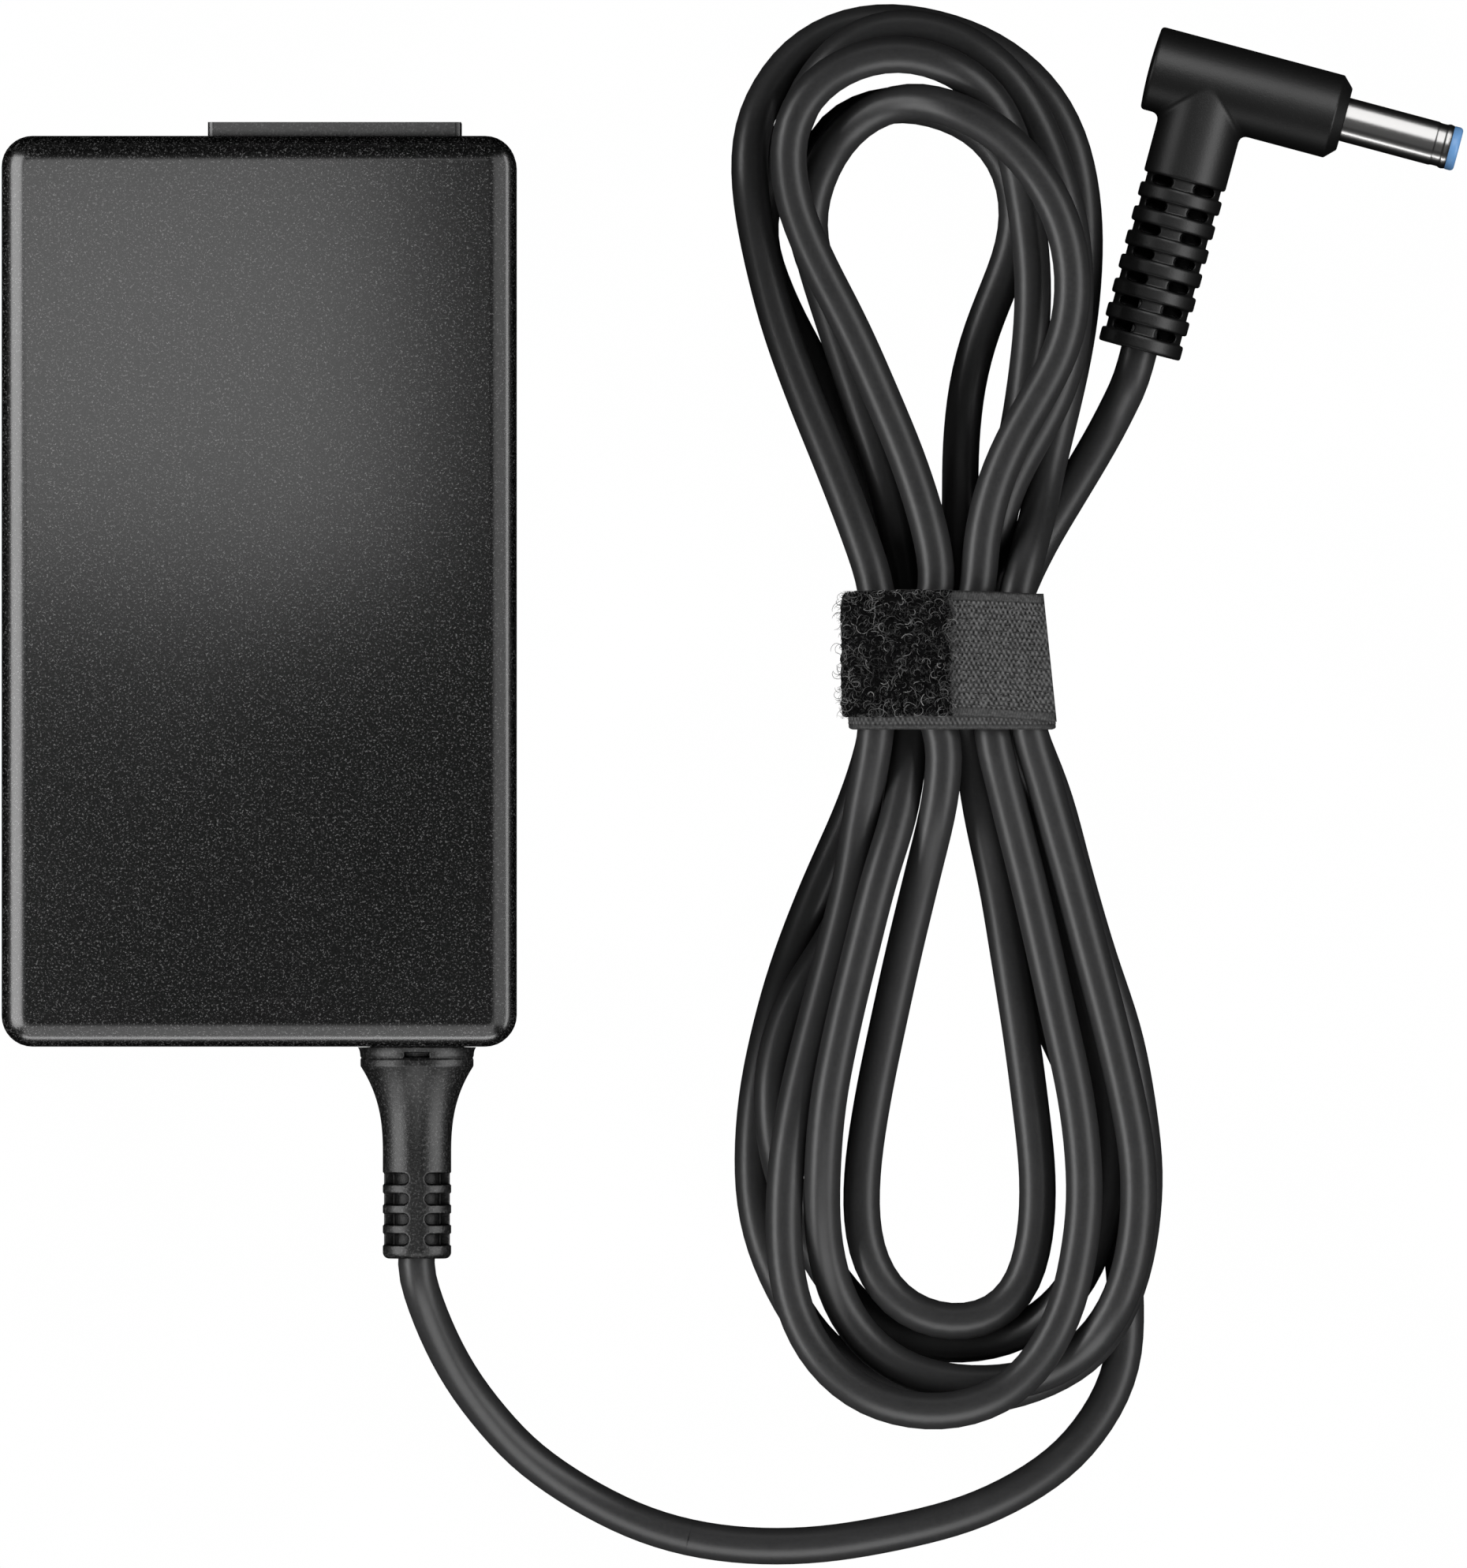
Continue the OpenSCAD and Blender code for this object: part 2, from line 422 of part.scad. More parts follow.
module dc_wire(dx, dz) {
  translate([outlet_x + dx, -38.6, board_z1 + 0.05]) cylinder(h = cable_z + dz - board_z1 - 0.05, r = 0.55, $fn = 24);
  translate([outlet_x + dx, -38.6, cable_z + dz]) sphere(r = 0.55, $fn = 24);
  rod_y(outlet_x + dx, -41.9, -38.6, cable_z + dz, 0.55);
}
module wire_positive() { color([0.7, 0.12, 0.1]) dc_wire(-1.2, 0); }
module wire_negative() { color([0.08, 0.08, 0.08]) dc_wire(1.2, 0); }
module wire_sense() { color([0.85, 0.85, 0.85]) dc_wire(0, 1.1); }

// ---- strain relief at the brick -----------------------------------------
relief_end = -hl - relief_l;
module relief_body() {
  translate([outlet_x, -hl, cable_z]) rotate([90, 0, 0]) rotate_extrude($fn = 64)
    polygon(concat(
      [[0, -3.6], [5.4, -3.6], [5.4, -2.2], [4.2, -2.2], [4.2, 0.15], [6.05, 0.15], [5.75, 0.7], [5.7, 2.0]],
      [for (i = [1 : 6]) let (t = i / 6) [3.45 + 2.25 * pow(1 - t, 2.6), 2.0 + 9.0 * t]],
      [[3.45, relief_l - 0.7]],
      [for (i = [1 : 4]) let (a = 22.5 * i) [2.75 + 0.7 * cos(a), relief_l - 0.7 + 0.7 * sin(a)]],
      [[0, relief_l]]));
}
module strain_relief() {
  color([0.09, 0.09, 0.1])
  difference() {
    relief_body();
    rod_y(outlet_x, relief_end - 1, -hl + 5, cable_z, cable_r + 0.04);
    // slots from above and from below, leaving the middle closed
    for (z = [1.3, -5.3]) translate([0, 0, cable_z + z]) linear_extrude(height = 4) for (i = [0 : 3], s = [-1, 1])
      translate([outlet_x, -hl - 13.355 - i * relief_pitch]) {
        translate([s > 0 ? 0.78 + relief_slot/2 : -5, -relief_slot/2]) square([5 - 0.78 - relief_slot/2, relief_slot]);
        translate([s * (0.78 + relief_slot/2), 0]) circle(d = relief_slot, $fn = 32);
      }
  }
}
pivot_a = [outlet_x, relief_end - 1.1, cable_z];
module cable_outlet() {
  color([0.13, 0.13, 0.14]) {
    rod_y(outlet_x, pivot_a[1], -hl + 3.7, cable_z, cable_r);
    translate(pivot_a) sphere(r = cable_r + 0.03, $fn = 32);
  }
}

// ---- cable --------------------------------------------------------------
pivot_b = gp([1428, 1672, 1.9]);
pivot_c = gp([1346, 643, 1.9]);
pivot_d = gp([1439, 466.7, 4.3]);
module ball_end(p) { translate(p) sphere(r = cable_r + 0.06, $fn = 32); }
module cable_lead() {
  color([0.15, 0.15, 0.16]) { tube(route(lead_way), cable_r, cable_sides); ball_end(pivot_b); }
}
module cable_coil() {
  color([0.15, 0.15, 0.16]) { tube(route(coil_way), cable_r, cable_sides); ball_end(pivot_c); }
}
module cable_tail() {
  color([0.15, 0.15, 0.16]) { tube(route(tail_way), cable_r, cable_sides); ball_end(pivot_d); }
}

// ---- strap ----------------------------------------------------------------
strap_y0 = -1.2 - strap_w;
in_l = 60.2; in_r = 79.75; in_lo = 1.4 + cable_lift; in_hi = 13.05 + cable_lift;
module ring_2d(o) {
  // rounded rectangle in X-Z, grown by o
  r = 1.5 + o;
  x0 = in_l - o; x1 = in_r + o; z0 = in_lo - o; z1 = in_hi + o;
  translate([x0 + r, z0]) square([x1 - x0 - 2*r, z1 - z0]);
  translate([x0, z0 + r]) square([x1 - x0, z1 - z0 - 2*r]);
  for (x = [x0 + r, x1 - r], z = [z0 + r, z1 - r]) translate([x, z]) circle(r = r, $fn = 48);
}
module strap_band() {
  color([0.2, 0.2, 0.21])
  translate([0, strap_y0, 0]) rotate([90, 0, 0]) mirror([0, 0, 1]) linear_extrude(height = strap_w)
    difference() { ring_2d(strap_t); ring_2d(0); }
}
flap_z0 = in_hi + strap_t + 0.1;
flap_t = 0.9;
hinge_x = 79.4;
flap_y0 = -0.08 - strap_w;
module strap_flap() {
  color([0.36, 0.36, 0.37]) {
    box(69.4, hinge_x, flap_y0, flap_y0 + strap_w, flap_z0, flap_z0 + flap_t);
    rod_y(hinge_x, flap_y0, flap_y0 + strap_w, flap_z0 + flap_t/2, flap_t/2);
    box(60.4, 69.4, flap_y0 + 0.4, flap_y0 + strap_w - 0.4, flap_z0, flap_z0 + 0.35);
  }
}
module strap_pile() {
  color([0.07, 0.07, 0.08])
  translate([0, 0, flap_z0 + 0.4]) linear_extrude(height = 0.75) {
    translate([59.3, flap_y0]) square([10.05, strap_w]);
    translate([58.6, flap_y0 + 0.7]) square([1, strap_w - 1.4]);
    for (y = [flap_y0 + 0.7, flap_y0 + strap_w - 0.7]) translate([59.3, y]) circle(r = 0.7, $fn = 32);
  }
}

// ---- plug -------------------------------------------------------------------
// local frame: +X along the barrel, -Y down the stem, origin where the two cross
plug_at = gp([1536, 104, 4.3]);
plug_turn = -15;
head_x0 = -6.35;
head_x1 = head_x0 + head_l;
boot_end = -27.9;
rib_y0 = -10.27;
rib_pitch = 2.52;
module plug_frame() { translate(plug_at) rotate([0, 0, plug_turn]) children(); }
module along_x(x) { translate([x, 0, 0]) rotate([0, 90, 0]) children(); }
module plug_overmould() {
  color([0.07, 0.07, 0.08])
  plug_frame() difference() {
    union() {
      along_x(head_x0) rotate_extrude($fn = 64) polygon(concat([[0, 0]],
        [for (i = [0 : 4]) let (a = 22.5 * i) [head_r - 0.5 + 0.5 * sin(a), 0.5 - 0.5 * cos(a)]],
        [[head_r, head_l - 1.1], [head_r - 1.1, head_l], [0, head_l]]));
      rod_y(0, rib_y0, 0, 0, boot_r);
      rod_y(0, boot_end, rib_y0, 0, 3.85);
      for (i = [0 : 6]) rod_y(0, rib_y0 - 1.02 - i * rib_pitch - 1.5, rib_y0 - 1.02 - i * rib_pitch, 0, boot_r);
    }
    // pockets between the rings, above and below
    for (z = [-5, 2.1]) translate([0, 0, z]) linear_extrude(height = 2.9)
      for (i = [0 : 6], s = [-1, 1]) translate([0, rib_y0 - 0.51 - i * rib_pitch]) {
        translate([s > 0 ? 1.5 : -2.7, -0.5]) square([1.2, 1.0]);
        translate([s * 1.5, 0]) circle(r = 0.5, $fn = 24);
        translate([s * 2.7, 0]) circle(r = 0.5, $fn = 24);
      }
    // channel for the cable end, cavity for the inner mould, bore for the barrel
    rod_y(0, boot_end - 1, -4.3, 0, cable_r + 0.05);
    rod_x(-4.0, 10.3, 0, 0, 3.35);
    rod_x(10, head_x1 + 1, 0, 0, barrel_r + 0.33);
  }
}
module plug_cable_end() {
  color([0.13, 0.13, 0.14]) plug_frame() rod_y(0, boot_end, -4.4, 0, cable_r);
}
module plug_inner_mould() {
  color([0.8, 0.8, 0.76]) plug_frame() difference() {
    rod_x(-3.3, 8.2, 0, 0, 3.25);
    rod_x(-1, 9, 0, 0, centre_pin_r + 0.06);
    box(-2, 9, -1.3, 1.3, 1.75, 2.35);
    box(-2, 0.1, -1.1, 1.1, -0.9, 0.9);
  }
}
module barrel_sleeve() {
  color([0.82, 0.82, 0.83]) plug_frame() difference() {
    union() {
      rod_x(8.3, 10.1, 0, 0, 3.25);
      rod_x(10, head_x1, 0, 0, barrel_r + 0.3);
      rod_x(head_x1, head_x1 + barrel_l, 0, 0, barrel_r);
    }
    rod_x(8, head_x1 + barrel_l + 1, 0, 0, barrel_r - 0.3);
  }
}
module barrel_insulator() {
  color([0.08, 0.08, 0.08]) plug_frame() difference() {
    rod_x(8.4, head_x1 + barrel_l, 0, 0, barrel_r - 0.33);
    rod_x(10.2, head_x1 + barrel_l + 1, 0, 0, barrel_r - 0.5);
    rod_x(8, 12, 0, 0, centre_pin_r + 0.06);
  }
}
module inner_contact() {
  color([0.85, 0.72, 0.4]) plug_frame() difference() {
    rod_x(10.4, head_x1 + barrel_l - 0.1, 0, 0, barrel_r - 0.53);
    rod_x(10, head_x1 + barrel_l + 1, 0, 0, barrel_r - 0.72);
  }
}
module barrel_tip_ring() {
  color([0.36, 0.58, 0.79]) plug_frame() difference() {
    union() {
      rod_x(head_x1 + barrel_l + 0.02, head_x1 + barrel_l + 0.6, 0, 0, barrel_r - 0.04);
      along_x(head_x1 + barrel_l + 0.6) cylinder(h = 0.3, r1 = barrel_r - 0.04, r2 = barrel_r - 0.3, $fn = 64);
    }
    rod_x(head_x1 + barrel_l - 1, head_x1 + barrel_l + 2, 0, 0, barrel_r - 0.72);
  }
}
module centre_pin() {
  color([0.8, 0.78, 0.7]) plug_frame() {
    rod_x(0.3, head_x1 + barrel_l - 0.9, 0, 0, centre_pin_r);
    translate([head_x1 + barrel_l - 0.9, 0, 0]) sphere(r = centre_pin_r, $fn = 24);
  }
}
module terminal_outer() {
  color([0.8, 0.78, 0.7]) plug_frame() box(-1.9, 8.25, -1.2, 1.2, 1.85, 2.25);
}
module terminal_centre() {
  color([0.8, 0.78, 0.7]) plug_frame() difference() {
    box(-1.9, 0.0, -1.0, 1.0, -0.8, 0.8);
    rod_x(-0.6, 1, 0, 0, 0.5);
  }
}

case_bottom();
case_top();
rating_plate();
inlet_housing();
inlet_pin_line();
inlet_pin_neutral();
inlet_pin_earth();
circuit_board();
insulation_sheet();
shield_lower();
shield_upper();
thermal_pad();
fuse();
varistor();
inrush_thermistor();
x_capacitor();
choke_core();
choke_winding_a();
choke_winding_b();
bridge_rectifier();
bulk_capacitor();
primary_heatsink();
switch_transistor();
transformer_core();
transformer_bobbin();
transformer_winding();
y_capacitor();
optocoupler();
controller_chip();
secondary_heatsink();
output_rectifier();
output_capacitor_a();
output_capacitor_b();
output_choke_core();
output_choke_winding();
wire_positive();
wire_negative();
wire_sense();
strain_relief();
cable_outlet();
cable_lead();
cable_coil();
cable_tail();
strap_band();
strap_flap();
strap_pile();
plug_overmould();
plug_cable_end();
plug_inner_mould();
barrel_sleeve();
barrel_insulator();
barrel_tip_ring();
inner_contact();
centre_pin();
terminal_outer();
terminal_centre();
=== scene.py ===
import bpy, bmesh, json, math
import numpy as np
from mathutils import Vector, Matrix

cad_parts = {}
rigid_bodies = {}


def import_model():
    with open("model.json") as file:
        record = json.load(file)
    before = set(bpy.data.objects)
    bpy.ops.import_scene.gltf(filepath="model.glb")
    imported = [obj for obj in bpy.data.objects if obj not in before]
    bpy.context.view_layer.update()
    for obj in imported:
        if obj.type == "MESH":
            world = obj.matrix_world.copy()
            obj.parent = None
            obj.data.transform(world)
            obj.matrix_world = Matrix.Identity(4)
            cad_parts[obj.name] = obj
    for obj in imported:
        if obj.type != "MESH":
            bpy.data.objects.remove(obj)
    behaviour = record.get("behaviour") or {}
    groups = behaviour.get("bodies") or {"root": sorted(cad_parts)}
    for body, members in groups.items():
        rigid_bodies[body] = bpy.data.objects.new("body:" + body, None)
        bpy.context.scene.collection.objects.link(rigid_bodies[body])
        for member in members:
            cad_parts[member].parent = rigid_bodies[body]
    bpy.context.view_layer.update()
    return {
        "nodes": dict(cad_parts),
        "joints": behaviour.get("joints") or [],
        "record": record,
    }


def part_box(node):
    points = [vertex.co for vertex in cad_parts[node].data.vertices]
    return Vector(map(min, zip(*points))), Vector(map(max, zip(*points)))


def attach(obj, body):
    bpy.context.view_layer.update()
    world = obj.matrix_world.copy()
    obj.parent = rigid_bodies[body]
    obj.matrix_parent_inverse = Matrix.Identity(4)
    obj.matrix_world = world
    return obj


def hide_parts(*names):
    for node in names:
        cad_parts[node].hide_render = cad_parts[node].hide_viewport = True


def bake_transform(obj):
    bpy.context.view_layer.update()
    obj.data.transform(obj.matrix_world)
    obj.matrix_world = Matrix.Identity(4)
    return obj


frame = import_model()
nodes = frame["nodes"]
joints = {j["name"]: j for j in frame["joints"]}
MM = 0.001


def mmbox(n):
    lo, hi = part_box(n)
    return np.array(lo) * 1000.0, np.array(hi) * 1000.0


def pivot(name):
    return np.array(joints[name]["pos_m"], float) * 1000.0


# ------------------------------------------------------------------ helpers
def mesh_obj(name, verts, faces, mat=None, smooth=True, sharp=None):
    me = bpy.data.meshes.new(name)
    v = np.asarray(verts, float) * MM
    me.from_pydata([tuple(p) for p in v.tolist()], [], [tuple(int(i) for i in f) for f in faces])
    me.update()
    me.validate(verbose=False)
    if smooth:
        me.polygons.foreach_set("use_smooth", [True] * len(me.polygons))
    if sharp is not None:
        me.set_sharp_from_angle(angle=math.radians(sharp))
    ob = bpy.data.objects.new(name, me)
    bpy.context.scene.collection.objects.link(ob)
    if mat is not None:
        me.materials.append(mat)
    return ob


def merge(parts):
    vs, fs, n = [], [], 0
    for v, f in parts:
        vs.append(np.asarray(v, float))
        fs += [[i + n for i in q] for q in f]
        n += len(v)
    return np.concatenate(vs), fs


def tube(P, r, sides=16, caps=True, up=(0.0, 0.0, 1.0)):
    """round tube on a polyline, ring phase fixed by the up vector"""
    P = np.asarray(P, float)
    n = len(P)
    r = np.full(n, r, float) if np.isscalar(r) else np.asarray(r, float)
    T = np.gradient(P, axis=0)
    T /= np.linalg.norm(T, axis=1)[:, None]
    S = np.cross(np.array(up), T)
    S /= np.maximum(np.linalg.norm(S, axis=1)[:, None], 1e-9)
    U = np.cross(T, S)
    a = 2 * np.pi * (np.arange(sides) + 0.5) / sides
    V = P[:, None] + r[:, None, None] * (np.cos(a)[None, :, None] * S[:, None] + np.sin(a)[None, :, None] * U[:, None])
    V = V.reshape(-1, 3)
    F = []
    for i in range(n - 1):
        b = i * sides
        for k in range(sides):
            k2 = (k + 1) % sides
            F.append((b + k, b + k2, b + sides + k2, b + sides + k))
    if caps:
        F.append(tuple(range(sides - 1, -1, -1)))
        F.append(tuple((n - 1) * sides + k for k in range(sides)))
    return V, F


def lathe(profile, sides, origin, axis, ref=(0, 0, 1)):
    """profile of (distance along axis, radius); closed when it ends at radius 0 or joins itself"""
    axis = np.array(axis, float) / np.linalg.norm(axis)
    e1 = np.cross(axis, np.array(ref, float)); e1 /= np.linalg.norm(e1)
    e2 = np.cross(axis, e1)
    origin = np.array(origin, float)
    a = 2 * np.pi * np.arange(sides) / sides
    V, ring = [], []
    for d, r in profile:
        if r < 1e-6:
            ring.append([len(V)] * sides); V.append(origin + axis * d)
        else:
            ring.append(list(range(len(V), len(V) + sides)))
            for t in a:
                V.append(origin + axis * d + r * (math.cos(t) * e1 + math.sin(t) * e2))
    F = []
    m = len(profile)
    closed = abs(profile[0][0] - profile[-1][0]) < 1e-9 and abs(profile[0][1] - profile[-1][1]) < 1e-9
    if closed:
        ring[-1] = ring[0]
    for i in range(m - 1):
        for k in range(sides):
            k2 = (k + 1) % sides
            q = [ring[i][k], ring[i][k2], ring[i + 1][k2], ring[i + 1][k]]
            q2 = []
            for x in q:
                if x not in q2:
                    q2.append(x)
            if len(q2) > 2:
                F.append(tuple(q2))
    used = sorted(set(i for f in F for i in f))
    remap = {o: n for n, o in enumerate(used)}
    return np.array(V)[used], [tuple(remap[i] for i in f) for f in F]


def surface_nets(f, lo, hi, h, iters=3):
    """closed quad mesh of f = 0, f negative inside"""
    lo = np.array(lo, float); hi = np.array(hi, float)
    n = np.ceil((hi - lo) / h).astype(int) + 1
    ax = [lo[i] + h * np.arange(n[i]) for i in range(3)]
    F = np.empty(tuple(n))
    YZ = np.stack(np.meshgrid(ax[1], ax[2], indexing="ij"), -1).reshape(-1, 2)
    for i0 in range(0, n[0], 16):
        xs = ax[0][i0:i0 + 16]
        p = np.empty((len(xs), len(YZ), 3))
        p[:, :, 0] = xs[:, None]; p[:, :, 1:] = YZ[None]
        F[i0:i0 + len(xs)] = f(p.reshape(-1, 3)).reshape(len(xs), n[1], n[2])
    I = F < 0
    cnt = sum(I[a:n[0] - 1 + a, b:n[1] - 1 + b, c:n[2] - 1 + c].astype(np.int8) for a in (0, 1) for b in (0, 1) for c in (0, 1))
    act = (cnt > 0) & (cnt < 8)
    idx = np.full(act.shape, -1, np.int64)
    ijk = np.argwhere(act)
    idx[act] = np.arange(len(ijk))
    acc = np.zeros((len(ijk), 3)); num = np.zeros(len(ijk))
    corners = [(a, b, c) for a in (0, 1) for b in (0, 1) for c in (0, 1)]
    val = {c: F[ijk[:, 0] + c[0], ijk[:, 1] + c[1], ijk[:, 2] + c[2]] for c in corners}
    for c in corners:
        for d in range(3):
            if c[d] == 0:
                e = list(c); e[d] = 1; e = tuple(e)
                va, vb = val[c], val[e]
                m = (va < 0) != (vb < 0)
                t = np.where(m, va / np.where(m, va - vb, 1.0), 0.0)
                pos = np.array(c, float)[None] + np.eye(3)[d][None] * t[:, None]
                acc[m] += pos[m]; num[m] += 1
    V = lo + h * (ijk + acc / num[:, None])
    Q = []
    for d in range(3):
        u, w = (d + 1) % 3, (d + 2) % 3
        s0 = [slice(None)] * 3; s1 = [slice(None)] * 3
        s0[d] = slice(0, n[d] - 1); s1[d] = slice(1, n[d])
        ch = I[tuple(s0)] != I[tuple(s1)]
        neg = I[tuple(s0)]
        E = np.argwhere(ch)
        E = E[(E[:, u] > 0) & (E[:, w] > 0) & (E[:, u] < n[u] - 1) & (E[:, w] < n[w] - 1)]
        def cell(du, dw):
            c = E.copy(); c[:, u] -= du; c[:, w] -= dw
            return idx[c[:, 0], c[:, 1], c[:, 2]]
        a, b, c2, e2 = cell(1, 1), cell(0, 1), cell(0, 0), cell(1, 0)
        s = neg[E[:, 0], E[:, 1], E[:, 2]]
        q = np.stack([a, b, c2, e2], 1)
        q[~s] = q[~s][:, ::-1]
        Q.append(q)
    Q = np.concatenate(Q)
    V0 = V.copy()
    for _ in range(iters):
        e = 0.02
        fv = f(V)
        g = np.stack([(f(V + e * np.eye(3)[d]) - f(V - e * np.eye(3)[d])) / (2 * e) for d in range(3)], 1)
        g2 = np.maximum((g * g).sum(1), 0.05)
        V = V - (fv / g2)[:, None] * g * 0.9
        dv = V - V0
        L = np.linalg.norm(dv, axis=1)
        lim = 0.75 * h
        V = V0 + dv * np.minimum(1.0, lim / np.maximum(L, 1e-9))[:, None]
    return V, Q


def smin(a, b, k):
    h = np.clip(0.5 + 0.5 * (b - a) / k, 0, 1)
    return b * (1 - h) + a * h - k * h * (1 - h)


def smax(a, b, k):
    return -smin(-a, -b, k)


def boolean(ob, cutter, op="DIFFERENCE"):
    m = ob.modifiers.new("b", "BOOLEAN")
    m.operation = op; m.solver = "EXACT"; m.object = cutter
    dg = bpy.context.evaluated_depsgraph_get()
    me = bpy.data.meshes.new_from_object(ob.evaluated_get(dg))
    ob.modifiers.clear()
    old = ob.data
    ob.data = me
    bpy.data.meshes.remove(old)
    bpy.data.objects.remove(cutter)


def finish_mesh(ob, sharp=35):
    me = ob.data
    me.polygons.foreach_set("use_smooth", [True] * len(me.polygons))
    me.set_sharp_from_angle(angle=math.radians(sharp))
    me.update()


# ---------------------------------------------------------------- materials
def new_mat(name):
    m = bpy.data.materials.new(name)
    m.use_nodes = True
    nt = m.node_tree
    nt.nodes.clear()
    out = nt.nodes.new("ShaderNodeOutputMaterial")
    p = nt.nodes.new("ShaderNodeBsdfPrincipled")
    nt.links.new(p.outputs[0], out.inputs[0])
    return m, nt, p


def coords(nt, scale):
    tc = nt.nodes.new("ShaderNodeTexCoord")
    mp = nt.nodes.new("ShaderNodeMapping")
    nt.links.new(tc.outputs["Object"], mp.inputs["Vector"])
    mp.inputs["Scale"].default_value = scale if hasattr(scale, "__len__") else (scale, scale, scale)
    return mp.outputs["Vector"]


def noise(nt, vec, scale=1.0, detail=3.0, rough=0.6):
    n = nt.nodes.new("ShaderNodeTexNoise")
    n.inputs["Scale"].default_value = scale
    n.inputs["Detail"].default_value = detail
    n.inputs["Roughness"].default_value = rough
    nt.links.new(vec, n.inputs["Vector"])
    return n.outputs["Fac"]


def ramp(nt, fac, stops):
    r = nt.nodes.new("ShaderNodeValToRGB")
    el = r.color_ramp.elements
    el[0].position, el[0].color = stops[0][0], (*stops[0][1], 1) if hasattr(stops[0][1], "__len__") else (stops[0][1],) * 3 + (1,)
    el[1].position, el[1].color = stops[-1][0], (*stops[-1][1], 1) if hasattr(stops[-1][1], "__len__") else (stops[-1][1],) * 3 + (1,)
    for s in stops[1:-1]:
        e = el.new(s[0])
        e.color = (*s[1], 1) if hasattr(s[1], "__len__") else (s[1],) * 3 + (1,)
    nt.links.new(fac, r.inputs["Fac"])
    return r.outputs["Color"]


def maprange(nt, fac, a, b, c, d):
    m = nt.nodes.new("ShaderNodeMapRange")
    m.inputs[1].default_value, m.inputs[2].default_value = a, b
    m.inputs[3].default_value, m.inputs[4].default_value = c, d
    nt.links.new(fac, m.inputs[0])
    return m.outputs[0]


def bump(nt, p, height, dist, strength=1.0, prev=None):
    b = nt.nodes.new("ShaderNodeBump")
    b.inputs["Distance"].default_value = dist
    b.inputs["Strength"].default_value = strength
    nt.links.new(height, b.inputs["Height"])
    if prev is not None:
        nt.links.new(prev, b.inputs["Normal"])
    nt.links.new(b.outputs["Normal"], p.inputs["Normal"])
    return b.outputs["Normal"]


def mat_simple(name, col, rough=0.5, metal=0.0, grain=900.0, vary=0.12, bump_mm=0.01, rvar=0.08, spec=0.5, coat=0.0, alpha=None, grain2=None):
    """colour and roughness broken up by two scales of grain, with a fine relief"""
    m, nt, p = new_mat(name)
    v = coords(nt, 1.0)
    n1 = noise(nt, v, grain, 4.0, 0.6)
    n2 = noise(nt, v, grain2 or grain * 0.12, 3.0, 0.5)
    mix = nt.nodes.new("ShaderNodeMath"); mix.operation = "ADD"
    nt.links.new(n1, mix.inputs[0]); nt.links.new(n2, mix.inputs[1])
    lo = tuple(max(0.0, c * (1 - vary)) for c in col)
    hi = tuple(min(1.0, c * (1 + vary)) for c in col)
    fac = maprange(nt, mix.outputs[0], 0.6, 1.4, 0.0, 1.0)
    nt.links.new(ramp(nt, fac, [(0.0, lo), (1.0, hi)]), p.inputs["Base Color"])
    nt.links.new(maprange(nt, n1, 0.3, 0.7, max(0.02, rough - rvar), min(1.0, rough + rvar)), p.inputs["Roughness"])
    p.inputs["Metallic"].default_value = metal
    p.inputs["Specular IOR Level"].default_value = spec
    if coat:
        p.inputs["Coat Weight"].default_value = coat
        p.inputs["Coat Roughness"].default_value = 0.15
    if alpha is not None:
        p.inputs["Alpha"].default_value = alpha
    bump(nt, p, n1, bump_mm * MM)
    return m


M = {}
M["case_plastic"] = None  # made below
M["plate_film"] = mat_simple("plate_film", (0.055, 0.055, 0.058), 0.34, grain=2500, vary=0.08, bump_mm=0.004)
M["inlet_plastic"] = mat_simple("inlet_plastic", (0.006, 0.006, 0.0063), 0.42, grain=3000, vary=0.15, bump_mm=0.006, spec=0.33)
M["nickel"] = mat_simple("nickel", (0.80, 0.79, 0.78), 0.25, metal=1.0, grain=2200, vary=0.02, bump_mm=0.0001, rvar=0.01)
M["board_laminate"] = mat_simple("board_laminate", (0.03, 0.16, 0.08), 0.35, grain=1500, vary=0.25, bump_mm=0.01)
M["insulation_film"] = mat_simple("insulation_film", (0.70, 0.62, 0.40), 0.3, grain=700, vary=0.1, bump_mm=0.004)
M["copper"] = mat_simple("copper", (0.62, 0.27, 0.12), 0.3, metal=0.9, grain=1800, vary=0.2, bump_mm=0.02)
M["aluminium_plate"] = mat_simple("aluminium_plate", (0.70, 0.71, 0.72), 0.35, metal=1.0, grain=2400, vary=0.08, bump_mm=0.006)
M["pad_silicone"] = mat_simple("pad_silicone", (0.30, 0.40, 0.55), 0.8, grain=900, vary=0.2, bump_mm=0.02)
M["fuse_ceramic"] = mat_simple("fuse_ceramic", (0.72, 0.69, 0.62), 0.5, grain=1300, vary=0.1)
M["disc_blue"] = mat_simple("disc_blue", (0.03, 0.12, 0.38), 0.28, grain=700, vary=0.2, bump_mm=0.02)
M["disc_black"] = mat_simple("disc_black", (0.02, 0.02, 0.02), 0.3, grain=700, vary=0.3, bump_mm=0.02)
M["box_yellow"] = mat_simple("box_yellow", (0.60, 0.42, 0.05), 0.35, grain=900, vary=0.12)
M["ferrite"] = mat_simple("ferrite", (0.045, 0.045, 0.05), 0.55, grain=1600, vary=0.3, bump_mm=0.02)
M["chip_black"] = mat_simple("chip_black", (0.015, 0.015, 0.016), 0.5, grain=2600, vary=0.3)
M["can_black"] = mat_simple("can_black", (0.02, 0.02, 0.024), 0.25, grain=600, vary=0.2)
M["can_blue"] = mat_simple("can_blue", (0.02, 0.04, 0.14), 0.25, grain=600, vary=0.2)
M["bobbin_plastic"] = mat_simple("bobbin_plastic", (0.74, 0.70, 0.58), 0.45, grain=900, vary=0.08)
M["tape_yellow"] = mat_simple("tape_yellow", (0.66, 0.46, 0.05), 0.25, grain=700, vary=0.1)
